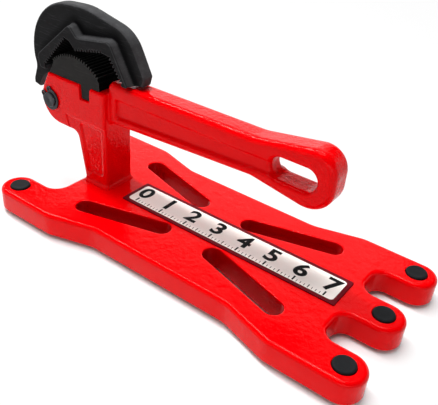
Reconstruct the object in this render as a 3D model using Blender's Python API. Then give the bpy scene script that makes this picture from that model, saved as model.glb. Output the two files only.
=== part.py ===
"""Portable pipe vise stand: a step-on base plate that carries a cast upright, with a keyed heel jaw
and a sprung hook jaw that swings on a cross pin. Metres, +Z up, origin under the middle of the stand.
"""

import math

import bmesh
import bpy
from mathutils import Vector

# Base plate, seen from above: +X is the three-prong end, -X the end under the jaws.
PLATE_THICKNESS = 0.019
PLATE_EDGE_RADIUS = 0.0035
PLATE_UNDER_EDGE_RADIUS = 0.0012
FOOT_PITCH_LENGTH = 0.307
FOOT_PITCH_WIDTH = 0.118
EAR_RADIUS = 0.015
EAR_END_REACH = 0.0161
WAIST_WIDTH = 0.1245
WAIST_LENGTH = 0.128
WAIST_RAMP = 0.040
WAIST_BLEND_RADIUS = 0.028
REAR_NOTCH_SETBACK = 0.0275
REAR_NOTCH_CORNER_RADIUS = 0.012
PRONG_SLOT_SETBACK = 0.0245
PRONG_SLOT_CORNER_RADIUS = 0.0105
BRACE_SLOT_WIDTH = 0.0155
BRACE_SLOT_EDGE_RADIUS = 0.0012
BRACE_SLOT_INNER_X = 0.0256
BRACE_SLOT_INNER_Y = 0.0252
BRACE_SLOT_OUTER_X = 0.0910
BRACE_SLOT_OUTER_Y = 0.0438

# Rubber feet, pressed through the plate's ears and prongs.
FOOT_DIAMETER = 0.0160
FOOT_PAD_DIAMETER = 0.0200
FOOT_STANDOFF = 0.003
FOOT_CROWN = 0.0014
FOOT_EDGE_RADIUS = 0.0012

# Label on top of the plate.
LABEL_LENGTH = 0.200
LABEL_WIDTH = 0.0315
LABEL_THICKNESS = 0.0008
LABEL_CORNER_RADIUS = 0.0012
LABEL_OFFSET = 0.0231

# Pivot pin of the hook jaw, from the plate's middle and from its top face.
PIN_SETBACK = 0.1577
PIN_HEIGHT = 0.064
PIN_DIAMETER = 0.0127
PIN_STICK_OUT = 0.0028
PIN_CHAMFER = 0.0006
RING_THICKNESS = 0.0012
RING_WIDTH = 0.0030
RING_GROOVE_DEPTH = 0.0005
RING_GAP_ANGLE = 34.0
RING_GAP_TURN = 128.0
RING_LUG_RADIUS = 0.0022
RING_LUG_ANGLE = 18.0

# Upright casting. Its u runs towards the handle and its w upwards, both from the pivot pin's axis.
HEAD_WIDTH = 0.031
HEAD_TOP = 0.0225
HEAD_UNDERSIDE = -0.0204
HEAD_EDGE_RADIUS = 0.0022
NOSE_RADIUS = 0.0202
NOSE_SETBACK = 0.0081
NOSE_TOP_U = -0.0030
EAR_GAP = 0.0123
POST_FRONT_U = 0.0621
POST_REAR_TOP_U = 0.0290
POST_REAR_FOOT_U = 0.0370
POST_ARMPIT_RADIUS = 0.007
POST_STEP_DEPTH = 0.0010
POST_STEP_W = -0.0085
POST_STEP_U = 0.0165
POST_STEP_SLANT = 0.0040
POST_PANEL_DEPTH = 0.0012
POST_PANEL_MARGIN = 0.0050
POST_PANEL_CORNER_RADIUS = 0.003
POST_FOOT_FLARE = 0.0050
HANDLE_THICKNESS = 0.021
HANDLE_EDGE_RADIUS = 0.0048
HANDLE_SHOULDER_SETBACK = 0.0015
HANDLE_SHOULDER_RADIUS = 0.006
HANDLE_ROOT_TOP_W = 0.0325
HANDLE_ROOT_LOW_W = -0.0043
HANDLE_NECK_U = 0.198
HANDLE_NECK_TOP_W = 0.0335
HANDLE_NECK_LOW_W = 0.0032
HANDLE_NECK_TOP_RADIUS = 0.045
HANDLE_NECK_LOW_RADIUS = 0.030
LOOP_TOP_SWELL_U = 0.2440
LOOP_LOW_SWELL_U = 0.2395
LOOP_TOP_SWELL_RADIUS = 0.010
LOOP_LOW_SWELL_RADIUS = 0.012
LOOP_END_U = 0.2618
LOOP_TOP_W = 0.0412
LOOP_LOW_W = -0.0036
LOOP_END_RADIUS = 0.0165
LOOP_CHIN_RADIUS = 0.019
LOOP_HOLE_LENGTH = 0.037
LOOP_HOLE_HEIGHT = 0.0175
LOOP_HOLE_U = 0.2305
LOOP_HOLE_W = 0.0175
LOOP_HOLE_EDGE_RADIUS = 0.0034
CHANNEL_DEPTH = 0.0030
CHANNEL_DRAFT = 0.0012
CHANNEL_TOP_MARGIN = 0.0125
CHANNEL_LOW_MARGIN = 0.0070
CHANNEL_START_U = 0.0690
CHANNEL_CORNER_RADIUS = 0.003

# Screws under the upright and under the heel jaw.
UPRIGHT_SCREW_DIAMETER = 0.008
UPRIGHT_SCREW_GRIP = 0.026
UPRIGHT_SCREW_PITCH = 0.0144
HEEL_SCREW_DIAMETER = 0.006
HEEL_SCREW_GRIP = 0.012
HEEL_SCREW_U = 0.0195
SCREW_HEAD_RATIO = 1.6
SCREW_SOCKET_RATIO = 0.8

# Heel jaw: an arc of fine teeth over a flat seat with a cross key.
HEEL_WIDTH = 0.027
HEEL_ARC_U = 0.0278
HEEL_ARC_W = 0.0060
HEEL_ARC_RADIUS = 0.0388
HEEL_ARC_START = 132.0
HEEL_TEETH = 21
HEEL_TOOTH_DEPTH = 0.0018
HEEL_TOE_U = -0.0020
HEEL_END_U = 0.0553
HEEL_KEY_START_U = 0.0346
HEEL_KEY_LENGTH = 0.0112
HEEL_KEY_DEPTH = 0.0112
HEEL_KEY_TAPER = 0.0008

# Hook jaw: a flat web with a toothed band across it, a pivot lug below and a thumb tail behind.
WEB_THICKNESS = 0.0115
WEB_EDGE_RADIUS = 0.0014
BAND_WIDTH = 0.028
BAND_SPREAD = 0.0070
BAND_EDGE_RADIUS = 0.0008
HOOK_TOOTH_PITCH = 0.0030
HOOK_TOOTH_DEPTH = 0.0018
HOOK_TOOTH_LEAN = 0.45
JAW_CLOSED_GAP = 0.0012
FIRST_FLAT_TURN = 47.6
FIRST_FLAT_START = -0.0060
FIRST_FLAT_END = 0.0309
RELIEF_LENGTH = 0.0050
SECOND_FLAT_START_U = 0.0295
SECOND_FLAT_START_W = 0.0489
SECOND_FLAT_END_U = 0.0620
SECOND_FLAT_END_W = 0.0558
THIRD_FLAT_U = 0.0650
TOE_U = 0.0803
TOE_W = 0.0347
BAND_TOE_LENGTH = 0.0042
BAND_TOE_RADIUS = 0.0008
BAND_SHOULDER_U = 0.0670
BAND_SHOULDER_W = 0.0644
BAND_SHOULDER_RADIUS = 0.0050
BAND_VALLEY_U = 0.0320
BAND_VALLEY_W = 0.0588
BAND_VALLEY_RADIUS = 0.0055
BAND_PEAK_U = 0.0243
BAND_PEAK_W = 0.0670
BAND_PEAK_RADIUS = 0.0025
BAND_HEEL_U = -0.0145
BAND_HEEL_W = 0.0342
BAND_HEEL_RADIUS = 0.0045
BAND_TAIL_U = -0.0115
BAND_TAIL_W = 0.0243
BAND_TAIL_LENGTH = 0.0045
BAND_TAIL_RADIUS = 0.0012
CROWN_U = 0.0170
CROWN_W = 0.0330
CROWN_RADIUS = 0.0482
CROWN_START = 95.0
CROWN_END = 187.0
WEB_TOP_U = 0.0340
WEB_TOP_W = 0.0828
WEB_TOP_RADIUS = 0.060
WEB_SHOULDER_U = 0.0790
WEB_SHOULDER_W = 0.0730
WEB_SHOULDER_RADIUS = 0.028
WEB_TIP_U = 0.0952
WEB_TIP_W = 0.0425
WEB_TIP_RADIUS = 0.003
WEB_TOE_U = 0.0930
WEB_TOE_LIFT = 0.0004
LUG_RADIUS = 0.0118
LUG_START = 140.0
LUG_END = 440.0
LUG_FRONT_DROP = 0.0010
LUG_FRONT_RADIUS = 0.004
TAIL_REACH = 0.0336
TAIL_NECK_U = -0.0286
TAIL_NECK_W = 0.0195
TAIL_NECK_RADIUS = 0.012
TAIL_HIGH_W = 0.0064
TAIL_HIGH_RADIUS = 0.006
TAIL_LOW_W = 0.0018
TAIL_TIP_LENGTH = 0.0072
THUMB_HOLLOW_U = -0.0211
THUMB_HOLLOW_W = 0.0098
THUMB_HOLLOW_RADIUS = 0.020
LUG_BACK_U = -0.0110
LUG_BACK_W = 0.0184
LUG_BACK_RADIUS = 0.003

# Torsion spring that closes the hook jaw.
SPRING_WIRE = 0.0016
SPRING_COIL_RADIUS = 0.0084
SPRING_TURNS = 1.75
SPRING_PITCH = 0.0021
SPRING_TANG = 0.0022
SPRING_POCKET_RADIUS = 0.0100

# Fits.
SEAT_GAP = 0.0003
RUNNING_GAP = 0.0003
CUT_MARGIN = 0.002
ARC_STEP = 15.0
ROUND_SIDES = 24

# Places worked out from the sizes above.
PLATE_TOP = FOOT_STANDOFF + PLATE_THICKNESS
FRONT_END_X = FOOT_PITCH_LENGTH / 2 + EAR_END_REACH
PIN_X = -PIN_SETBACK
PIN_Z = PLATE_TOP + PIN_HEIGHT
MIDDLE_SHIFT = -(FRONT_END_X + PIN_X - TAIL_REACH) / 2
SEAT_W = SEAT_GAP - PIN_HEIGHT
PIN_RADIUS = PIN_DIAMETER / 2
BORE_RADIUS = PIN_RADIUS + RUNNING_GAP
POST_SCREW_U = (POST_FRONT_U + POST_REAR_FOOT_U) / 2


def clear_scene():
    for thing in list(bpy.data.objects):
        bpy.data.objects.remove(thing, do_unlink=True)


def material(name, colour, roughness, metallic=0.0):
    made = bpy.data.materials.new(name)
    made.use_nodes = True
    shader = made.node_tree.nodes["Principled BSDF"]
    shader.inputs["Base Color"].default_value = (*colour, 1.0)
    shader.inputs["Roughness"].default_value = roughness
    shader.inputs["Metallic"].default_value = metallic
    return made


# Outlines are lists of flat points; a corner is (across, up, radius).


def arc(centre, radius, start, end):
    """Points on an arc, angles in degrees, both ends included."""
    count = max(2, math.ceil(abs(end - start) / ARC_STEP))
    angles = [math.radians(start + (end - start) * i / count) for i in range(count + 1)]
    return [(centre[0] + radius * math.cos(a), centre[1] + radius * math.sin(a)) for a in angles]


def without_repeats(points):
    kept = []
    for p in points:
        if not kept or math.dist(p, kept[-1]) > 1e-6:
            kept.append(p)
    if math.dist(kept[0], kept[-1]) <= 1e-6:
        kept.pop()
    return kept


def corner_reaches(corners):
    """How far each corner's arc eats into its two edges, shrunk where two arcs would meet."""
    spots = [Vector(c[:2]) for c in corners]
    count = len(spots)
    reaches = []
    for i, (_, _, radius) in enumerate(corners):
        before = spots[i - 1] - spots[i]
        after = spots[(i + 1) % count] - spots[i]
        reaches.append(radius / math.tan(before.angle(after) / 2))
    shares = []
    for i in range(count):
        wanted = reaches[i] + reaches[(i + 1) % count]
        length = (spots[(i + 1) % count] - spots[i]).length
        shares.append(min(1.0, length / wanted) if wanted > 0 else 1.0)
    return [reach * min(shares[i], shares[i - 1]) for i, reach in enumerate(reaches)]


def rounded_outline(corners):
    """A closed outline through the corners, each rounded by its own tangent arc."""
    points = []
    for i, ((x, y, radius), reach) in enumerate(zip(corners, corner_reaches(corners))):
        here = Vector((x, y))
        if radius <= 0:
            points.append((x, y))
            continue
        before = (Vector(corners[i - 1][:2]) - here).normalized()
        after = (Vector(corners[(i + 1) % len(corners)][:2]) - here).normalized()
        half = before.angle(after) / 2
        centre = here + (before + after).normalized() * (reach / math.cos(half))
        first = here + before * reach - centre
        last = here + after * reach - centre
        sweep = math.degrees(first.angle_signed(last))
        begin = math.degrees(math.atan2(first.y, first.x))
        points += arc(centre, reach * math.tan(half), begin, begin - sweep)
    return without_repeats(points)


def offset_outline(points, distance):
    """The outline moved outwards; it runs anticlockwise."""
    moved = []
    for i, p in enumerate(points):
        here = Vector(p)
        edge_in = (here - Vector(points[i - 1])).normalized()
        edge_out = (Vector(points[(i + 1) % len(points)]) - here).normalized()
        normal_in = Vector((edge_in.y, -edge_in.x))
        normal_out = Vector((edge_out.y, -edge_out.x))
        miter = normal_in + normal_out
        moved.append(tuple(here + miter * (2 * distance / miter.length_squared)))
    return moved


def slot_outline(start, end, radius):
    """A round-ended slot from start to end."""
    turn = math.degrees(math.atan2(end[1] - start[1], end[0] - start[0]))
    return without_repeats(
        arc(start, radius, turn + 90, turn + 270) + arc(end, radius, turn - 90, turn + 90)
    )


def circle_outline(centre, radius):
    turns = [2 * math.pi * i / ROUND_SIDES for i in range(ROUND_SIDES)]
    return [(centre[0] + radius * math.cos(a), centre[1] + radius * math.sin(a)) for a in turns]


# Meshes are lofts of rings; a side-view ring lies in the X-Z plane, a plan ring in the X-Y plane.


def side_ring(points, y):
    return [(p[0], y, p[1]) for p in points]


def plan_ring(points, z):
    return [(p[0], p[1], z) for p in points]


def loft_mesh(name, rings):
    """A closed skin over rings of equal length, capped at both ends."""
    work = bmesh.new()
    loops = []
    for ring in rings:
        corners = [work.verts.new(p) for p in ring]
        edges = [work.edges.new((corners[i - 1], corners[i])) for i in range(len(corners))]
        loops.append((corners, edges))
    for (_, lower), (_, upper) in zip(loops, loops[1:]):
        bmesh.ops.bridge_loops(work, edges=lower + upper)
    work.faces.new(loops[0][0])
    work.faces.new(loops[-1][0])
    bmesh.ops.recalc_face_normals(work, faces=work.faces)
    mesh = bpy.data.meshes.new(name)
    work.to_mesh(mesh)
    work.free()
    return mesh


def turned_mesh(name, profile):
    """A solid turned about Z from (radius, height) points that start and end on the axis."""
    work = bmesh.new()
    corners = [work.verts.new((radius, 0.0, height)) for radius, height in profile]
    edges = [work.edges.new(pair) for pair in zip(corners, corners[1:])]
    bmesh.ops.spin(
        work, geom=corners + edges, cent=(0, 0, 0), axis=(0, 0, 1),
        angle=2 * math.pi, steps=ROUND_SIDES, use_merge=True,
    )
    bmesh.ops.remove_doubles(work, verts=work.verts, dist=1e-6)
    bmesh.ops.recalc_face_normals(work, faces=work.faces)
    mesh = bpy.data.meshes.new(name)
    work.to_mesh(mesh)
    work.free()
    return mesh


def place(mesh, parent, location=(0, 0, 0), rotation=(0, 0, 0), finish=None, name=None):
    thing = bpy.data.objects.new(name or mesh.name, mesh)
    bpy.context.scene.collection.objects.link(thing)
    thing.parent = parent
    thing.location = location
    thing.rotation_euler = rotation
    if finish:
        mesh.materials.clear()
        mesh.materials.append(finish)
        mesh.shade_smooth()
        mesh.set_sharp_from_angle(angle=math.radians(35))
    return thing


def combine(target, mesh, operation, location=(0, 0, 0), rotation=(0, 0, 0)):
    """Cuts the mesh out of the target, or joins it on, in the target's own frame."""
    tool = place(mesh, target, location, rotation)
    tool.hide_render = True
    tool.display_type = "WIRE"
    step = target.modifiers.new(mesh.name, "BOOLEAN")
    step.operation = operation
    step.solver = "EXACT"
    step.object = tool


def cut(target, mesh, location=(0, 0, 0), rotation=(0, 0, 0)):
    combine(target, mesh, "DIFFERENCE", location, rotation)


def join(target, mesh):
    combine(target, mesh, "UNION")


def quarter_steps(count):
    return [math.radians(90 * i / count) for i in range(count + 1)]


def flared_prism(name, points, low, high, radius):
    """A cutter with straight walls that open out at the top by a convex round."""
    rings = [plan_ring(points, low - CUT_MARGIN)]
    for angle in quarter_steps(3):
        grown = offset_outline(points, radius * (1 - math.cos(angle)))
        rings.append(plan_ring(grown, high - radius * (1 - math.sin(angle))))
    rings.append(plan_ring(offset_outline(points, radius), high + CUT_MARGIN))
    return loft_mesh(name, rings)


def round_cutter(name, radius, low, high):
    return turned_mesh(name, [(0, low), (radius, low), (radius, high), (0, high)])


# Base plate.


def plate_outline():
    ear_y = FOOT_PITCH_WIDTH / 2
    side_y = ear_y + EAR_RADIUS
    slot_y = ear_y - EAR_RADIUS
    front = FRONT_END_X
    slot_floor = FOOT_PITCH_LENGTH / 2 - PRONG_SLOT_SETBACK
    slot_radius = min(PRONG_SLOT_CORNER_RADIUS, (slot_y - EAR_RADIUS) / 2)
    waist_x = WAIST_LENGTH / 2
    waist_y = WAIST_WIDTH / 2
    notch_floor = -FOOT_PITCH_LENGTH / 2 + REAR_NOTCH_SETBACK
    left_half = [
        (front, EAR_RADIUS, EAR_RADIUS),
        (slot_floor, EAR_RADIUS, slot_radius),
        (slot_floor, slot_y, slot_radius),
        (front, slot_y, EAR_RADIUS),
        (front, side_y, EAR_RADIUS),
        (waist_x + WAIST_RAMP, side_y, WAIST_BLEND_RADIUS),
        (waist_x, waist_y, WAIST_BLEND_RADIUS),
        (-waist_x, waist_y, WAIST_BLEND_RADIUS),
        (-waist_x - WAIST_RAMP, side_y, WAIST_BLEND_RADIUS),
        (-front, side_y, EAR_RADIUS),
        (-front, slot_y, EAR_RADIUS),
        (notch_floor, slot_y, REAR_NOTCH_CORNER_RADIUS),
    ]
    return rounded_outline(left_half + [(x, -y, r) for x, y, r in reversed(left_half)])


def plate_rings():
    """The plate's edge from its underside up: a small round, a straight wall, a larger round."""
    outline = plate_outline()
    rings = []
    for angle in quarter_steps(2):
        inset = PLATE_UNDER_EDGE_RADIUS * (1 - math.sin(angle))
        height = PLATE_UNDER_EDGE_RADIUS * (1 - math.cos(angle))
        rings.append(plan_ring(offset_outline(outline, -inset), height))
    for angle in quarter_steps(4):
        inset = PLATE_EDGE_RADIUS * (1 - math.cos(angle))
        height = PLATE_THICKNESS - PLATE_EDGE_RADIUS * (1 - math.sin(angle))
        rings.append(plan_ring(offset_outline(outline, -inset), height))
    return rings


def foot_places():
    """Names and plan positions of the feet, from the plate's middle."""
    x, y = FOOT_PITCH_LENGTH / 2, FOOT_PITCH_WIDTH / 2
    return {
        "rubber_foot_front_right": (x, -y),
        "rubber_foot_front_middle": (x, 0.0),
        "rubber_foot_front_left": (x, y),
        "rubber_foot_rear_right": (-x, -y),
        "rubber_foot_rear_left": (-x, y),
    }


def upright_screw_places():
    x = PIN_X + POST_SCREW_U
    return {
        "upright_screw_right": (x, -UPRIGHT_SCREW_PITCH / 2),
        "upright_screw_left": (x, UPRIGHT_SCREW_PITCH / 2),
    }


def base_plate(stand, finish):
    plate = place(loft_mesh("base_plate", plate_rings()), stand, (0, 0, FOOT_STANDOFF), finish=finish)
    for way_x in (-1, 1):
        for way_y in (-1, 1):
            inner = (way_x * BRACE_SLOT_INNER_X, way_y * BRACE_SLOT_INNER_Y)
            outer = (way_x * BRACE_SLOT_OUTER_X, way_y * BRACE_SLOT_OUTER_Y)
            slot = slot_outline(inner, outer, BRACE_SLOT_WIDTH / 2)
            cut(plate, flared_prism("brace slot", slot, 0, PLATE_THICKNESS, BRACE_SLOT_EDGE_RADIUS))
    for x, y in foot_places().values():
        hole = circle_outline((x, y), FOOT_DIAMETER / 2 + SEAT_GAP)
        cut(plate, loft_mesh("foot hole", [
            plan_ring(hole, -CUT_MARGIN), plan_ring(hole, PLATE_THICKNESS + CUT_MARGIN)
        ]))
    shank = UPRIGHT_SCREW_DIAMETER / 2 + SEAT_GAP
    head = UPRIGHT_SCREW_DIAMETER * SCREW_HEAD_RATIO / 2 + SEAT_GAP
    seat = UPRIGHT_SCREW_DIAMETER + 2 * SEAT_GAP
    for x, y in upright_screw_places().values():
        bore = [(0, -CUT_MARGIN), (head, -CUT_MARGIN), (head, seat), (shank, seat),
                (shank, PLATE_THICKNESS + CUT_MARGIN), (0, PLATE_THICKNESS + CUT_MARGIN)]
        cut(plate, turned_mesh("screw bore", bore), (x, y, 0))


# Rubber feet and label.


def foot_profile():
    """Half section of one foot: pad below the plate, stem through it, low crown above it."""
    stem = FOOT_DIAMETER / 2
    pad = FOOT_PAD_DIAMETER / 2
    top = PLATE_TOP + FOOT_CROWN
    pad_top = FOOT_STANDOFF - SEAT_GAP
    edge = FOOT_EDGE_RADIUS
    crown = [
        (stem - edge * (1 - math.cos(a)), top - edge * (1 - math.sin(a))) for a in quarter_steps(3)
    ]
    under = [(0, 0), (pad - edge / 2, 0), (pad, edge / 2), (pad, pad_top), (stem, pad_top)]
    return [*under, *crown, (0, top)]


def rubber_feet(stand, finish):
    mesh = turned_mesh("rubber_foot", foot_profile())
    for name, (x, y) in foot_places().items():
        place(mesh, stand, (x, y, 0), finish=finish, name=name)


def label_plate(stand, finish):
    x, y = LABEL_LENGTH / 2, LABEL_WIDTH / 2
    outline = rounded_outline([(sx * x, sy * y, LABEL_CORNER_RADIUS)
                               for sx, sy in ((1, -1), (1, 1), (-1, 1), (-1, -1))])
    rings = [plan_ring(outline, 0), plan_ring(outline, LABEL_THICKNESS)]
    spot = (LABEL_OFFSET, 0, PLATE_TOP + SEAT_GAP)
    place(loft_mesh("label_plate", rings), stand, spot, finish=finish)


# Upright casting: jaw head, post with a flared foot, and handle with a hanging loop.


def head_outline():
    top = Vector((NOSE_TOP_U - NOSE_SETBACK, HEAD_TOP))
    tangent_turn = math.atan2(top.y, top.x) + math.acos(min(1.0, NOSE_RADIUS / top.length))
    nose = arc((NOSE_SETBACK, 0), NOSE_RADIUS, math.degrees(tangent_turn), 270)
    corners = [(NOSE_TOP_U, HEAD_TOP, 0.0)]
    corners += [(u, max(w, HEAD_UNDERSIDE), 0.0) for u, w in nose]
    corners += [
        (POST_REAR_TOP_U, HEAD_UNDERSIDE, POST_ARMPIT_RADIUS),
        (POST_REAR_FOOT_U, SEAT_W, 0.0),
        (POST_FRONT_U, SEAT_W, 0.0),
        (POST_FRONT_U, HEAD_TOP, 0.0),
    ]
    return rounded_outline(corners)


def handle_outline():
    """Side view of the handle: a tapered bar that swells into a round loop."""
    shoulder = POST_FRONT_U - HANDLE_SHOULDER_SETBACK
    root = shoulder - HANDLE_SHOULDER_RADIUS
    ledge = HEAD_TOP - HANDLE_EDGE_RADIUS
    return rounded_outline([
        (root, HANDLE_ROOT_LOW_W, 0.0),
        (HANDLE_NECK_U, HANDLE_NECK_LOW_W, HANDLE_NECK_LOW_RADIUS),
        (LOOP_LOW_SWELL_U, LOOP_LOW_W, LOOP_LOW_SWELL_RADIUS),
        (LOOP_END_U, LOOP_LOW_W, LOOP_CHIN_RADIUS),
        (LOOP_END_U, LOOP_TOP_W, LOOP_END_RADIUS),
        (LOOP_TOP_SWELL_U, LOOP_TOP_W, LOOP_TOP_SWELL_RADIUS),
        (HANDLE_NECK_U, HANDLE_NECK_TOP_W, HANDLE_NECK_TOP_RADIUS),
        (shoulder, HANDLE_ROOT_TOP_W, HANDLE_SHOULDER_RADIUS),
        (shoulder, ledge, 0.0),
        (root, ledge, 0.0),
    ])


def rim_rings(outline, half, radius, steps):
    """Side-view rings of a slab whose two rims are rounded."""
    rings = []
    for angle in quarter_steps(steps):
        shrunk = offset_outline(outline, -radius * (1 - math.sin(angle)))
        rings.append(side_ring(shrunk, radius * (1 - math.cos(angle)) - half))
    mirrored = [[(x, -y, z) for x, y, z in ring] for ring in reversed(rings)]
    return rings + mirrored


def post_foot_mesh():
    """The concave flare between post and plate, outlines that widen downwards."""
    half = HEAD_WIDTH / 2 - POST_STEP_DEPTH
    slope = (POST_REAR_FOOT_U - POST_REAR_TOP_U) / (HEAD_UNDERSIDE - SEAT_W)
    rings = []
    for angle in quarter_steps(4):
        rise = POST_FOOT_FLARE * (1 - math.cos(angle))
        spread = POST_FOOT_FLARE * (1 - math.sin(angle)) + SEAT_GAP
        rear = POST_REAR_FOOT_U - slope * rise - spread
        front = POST_FRONT_U + spread
        side = half + spread
        corner = HEAD_EDGE_RADIUS + spread
        outline = rounded_outline([
            (front, -side, corner), (front, side, corner), (rear, side, corner), (rear, -side, corner)
        ])
        rings.append(plan_ring(outline, SEAT_W + rise))
    return loft_mesh("post foot", rings)


def post_step_outline():
    low = SEAT_W - CUT_MARGIN
    right = POST_FRONT_U + POST_FOOT_FLARE + CUT_MARGIN
    left = POST_STEP_U
    return [(left + POST_STEP_SLANT, low), (right, low), (right, POST_STEP_W), (left, POST_STEP_W),
            (left + POST_STEP_SLANT, HEAD_UNDERSIDE - CUT_MARGIN)]


def post_panel_outline():
    slope = (POST_REAR_FOOT_U - POST_REAR_TOP_U) / (HEAD_UNDERSIDE - SEAT_W)
    low = SEAT_W + POST_FOOT_FLARE + POST_PANEL_MARGIN
    high = POST_STEP_W - POST_PANEL_MARGIN / 2
    right = POST_FRONT_U - POST_PANEL_MARGIN
    foot = POST_REAR_FOOT_U + POST_PANEL_MARGIN
    radius = POST_PANEL_CORNER_RADIUS
    return rounded_outline([
        (foot - slope * (low - SEAT_W), low, radius),
        (right, low, radius),
        (right, high, radius),
        (foot - slope * (high - SEAT_W), high, radius),
    ])


def channel_outline():
    """The recess along the handle: it keeps its margins from the tapered bar and ends in the loop."""
    share = (CHANNEL_START_U - POST_FRONT_U) / (HANDLE_NECK_U - POST_FRONT_U)
    root_low = HANDLE_ROOT_LOW_W + (HANDLE_NECK_LOW_W - HANDLE_ROOT_LOW_W) * share
    root_top = HANDLE_ROOT_TOP_W + (HANDLE_NECK_TOP_W - HANDLE_ROOT_TOP_W) * share
    low_start = root_low + CHANNEL_LOW_MARGIN
    top_start = root_top - CHANNEL_TOP_MARGIN
    hole_low = LOOP_HOLE_W - LOOP_HOLE_HEIGHT / 2
    hole_top = LOOP_HOLE_W + LOOP_HOLE_HEIGHT / 2
    low_end = max(HANDLE_NECK_LOW_W + CHANNEL_LOW_MARGIN, hole_low + CHANNEL_DRAFT)
    top_end = min(HANDLE_NECK_TOP_W - CHANNEL_TOP_MARGIN, hole_top - CHANNEL_DRAFT)
    end_u = LOOP_HOLE_U - LOOP_HOLE_LENGTH / 4
    radius = CHANNEL_CORNER_RADIUS
    return rounded_outline([
        (CHANNEL_START_U, low_start, radius),
        (end_u, low_end, 0.0),
        (end_u, top_end, 0.0),
        (CHANNEL_START_U, top_start, radius),
    ])


def cut_both_faces(target, name, outline, floor, face, draft):
    """Sinks the outline from both side faces down to the floor's half width, with drafted walls."""
    grow = draft * (face + CUT_MARGIN - floor) / (face - floor)
    for way in (-1, 1):
        cut(target, loft_mesh(name, [
            side_ring(offset_outline(outline, -draft), way * floor),
            side_ring(offset_outline(outline, grow - draft), way * (face + CUT_MARGIN)),
        ]))


def loop_hole_mesh():
    """The grip hole's cutter, flared to both faces by a convex round."""
    half = HANDLE_THICKNESS / 2
    reach = LOOP_HOLE_LENGTH / 2 - LOOP_HOLE_HEIGHT / 2
    hole = slot_outline(
        (LOOP_HOLE_U - reach, LOOP_HOLE_W), (LOOP_HOLE_U + reach, LOOP_HOLE_W), LOOP_HOLE_HEIGHT / 2
    )
    radius = LOOP_HOLE_EDGE_RADIUS
    front = []
    for angle in quarter_steps(3):
        grown = offset_outline(hole, radius * (1 - math.cos(angle)))
        front.append(side_ring(grown, half - radius * (1 - math.sin(angle))))
    front.append(side_ring(offset_outline(hole, radius), half + CUT_MARGIN))
    back = [[(x, -y, z) for x, y, z in ring] for ring in reversed(front)]
    return loft_mesh("loop hole", back + front)


def heel_key_outline(gap):
    """Cross key of the heel jaw, or its slot when there is a gap round it."""
    top = HEAD_TOP + (CUT_MARGIN if gap else SEAT_GAP)
    low = HEAD_TOP - HEEL_KEY_DEPTH - gap
    left = HEEL_KEY_START_U - gap
    right = HEEL_KEY_START_U + HEEL_KEY_LENGTH + gap
    return [(left, top), (left + HEEL_KEY_TAPER, low), (right - HEEL_KEY_TAPER, low), (right, top)]


def vise_upright(pivot, finish):
    half = HEAD_WIDTH / 2
    grip = HANDLE_THICKNESS / 2
    head_rings = rim_rings(head_outline(), half, HEAD_EDGE_RADIUS, 2)
    upright = place(loft_mesh("vise_upright", head_rings), pivot, finish=finish)
    cut_both_faces(upright, "post step", post_step_outline(), half - POST_STEP_DEPTH, half, 0.0)
    face = half - POST_STEP_DEPTH
    floor = face - POST_PANEL_DEPTH
    cut_both_faces(upright, "post panel", post_panel_outline(), floor, face, POST_PANEL_DEPTH / 2)
    join(upright, post_foot_mesh())
    join(upright, loft_mesh("handle", rim_rings(handle_outline(), grip, HANDLE_EDGE_RADIUS, 3)))
    cut_both_faces(upright, "channel", channel_outline(), grip - CHANNEL_DEPTH, grip, CHANNEL_DRAFT)
    cut(upright, loop_hole_mesh())

    ear_half = EAR_GAP / 2
    slot_end = LUG_RADIUS + RUNNING_GAP * 2
    low = HEAD_UNDERSIDE - CUT_MARGIN
    high = HEAD_TOP + CUT_MARGIN
    slot = [(-NOSE_RADIUS, low), (slot_end, low), (slot_end, high), (-NOSE_RADIUS, high)]
    cut(upright, loft_mesh("hook slot", [side_ring(slot, -ear_half), side_ring(slot, ear_half)]))
    key_slot = heel_key_outline(SEAT_GAP * 2)
    reach = half + CUT_MARGIN
    cut(upright, loft_mesh("key slot", [side_ring(key_slot, -reach), side_ring(key_slot, reach)]))
    lay_along_y = (-math.pi / 2, 0, 0)
    cut(upright, round_cutter("pin bore", BORE_RADIUS, -reach, reach), rotation=lay_along_y)
    pocket_floor = spring_far_end() + SPRING_WIRE / 2 + SEAT_GAP
    pocket = round_cutter("spring pocket", SPRING_POCKET_RADIUS, 0, pocket_floor)
    cut(upright, pocket, rotation=lay_along_y)
    tang = spring_point(SPRING_TURNS)
    tang_hole = round_cutter("tang hole", SPRING_WIRE / 2 + SEAT_GAP, 0, SPRING_TANG + SEAT_GAP * 2)
    cut(upright, tang_hole, tang, lay_along_y)

    shank = UPRIGHT_SCREW_DIAMETER / 2 + SEAT_GAP
    for _, y in upright_screw_places().values():
        bore = round_cutter("foot screw hole", shank, -CUT_MARGIN, UPRIGHT_SCREW_GRIP + SEAT_GAP * 2)
        cut(upright, bore, (POST_SCREW_U, y, SEAT_W))
    shank = HEEL_SCREW_DIAMETER / 2 + SEAT_GAP
    head = HEEL_SCREW_DIAMETER * SCREW_HEAD_RATIO / 2 + SEAT_GAP
    seat = HEEL_SCREW_DIAMETER + SEAT_GAP * 2
    top = HEAD_TOP - HEAD_UNDERSIDE + CUT_MARGIN
    bore = [(0, -CUT_MARGIN), (head, -CUT_MARGIN), (head, seat), (shank, seat), (shank, top), (0, top)]
    cut(upright, turned_mesh("heel screw bore", bore), (HEEL_SCREW_U, 0, HEAD_UNDERSIDE))


# Socket head screws, heads down.


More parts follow.
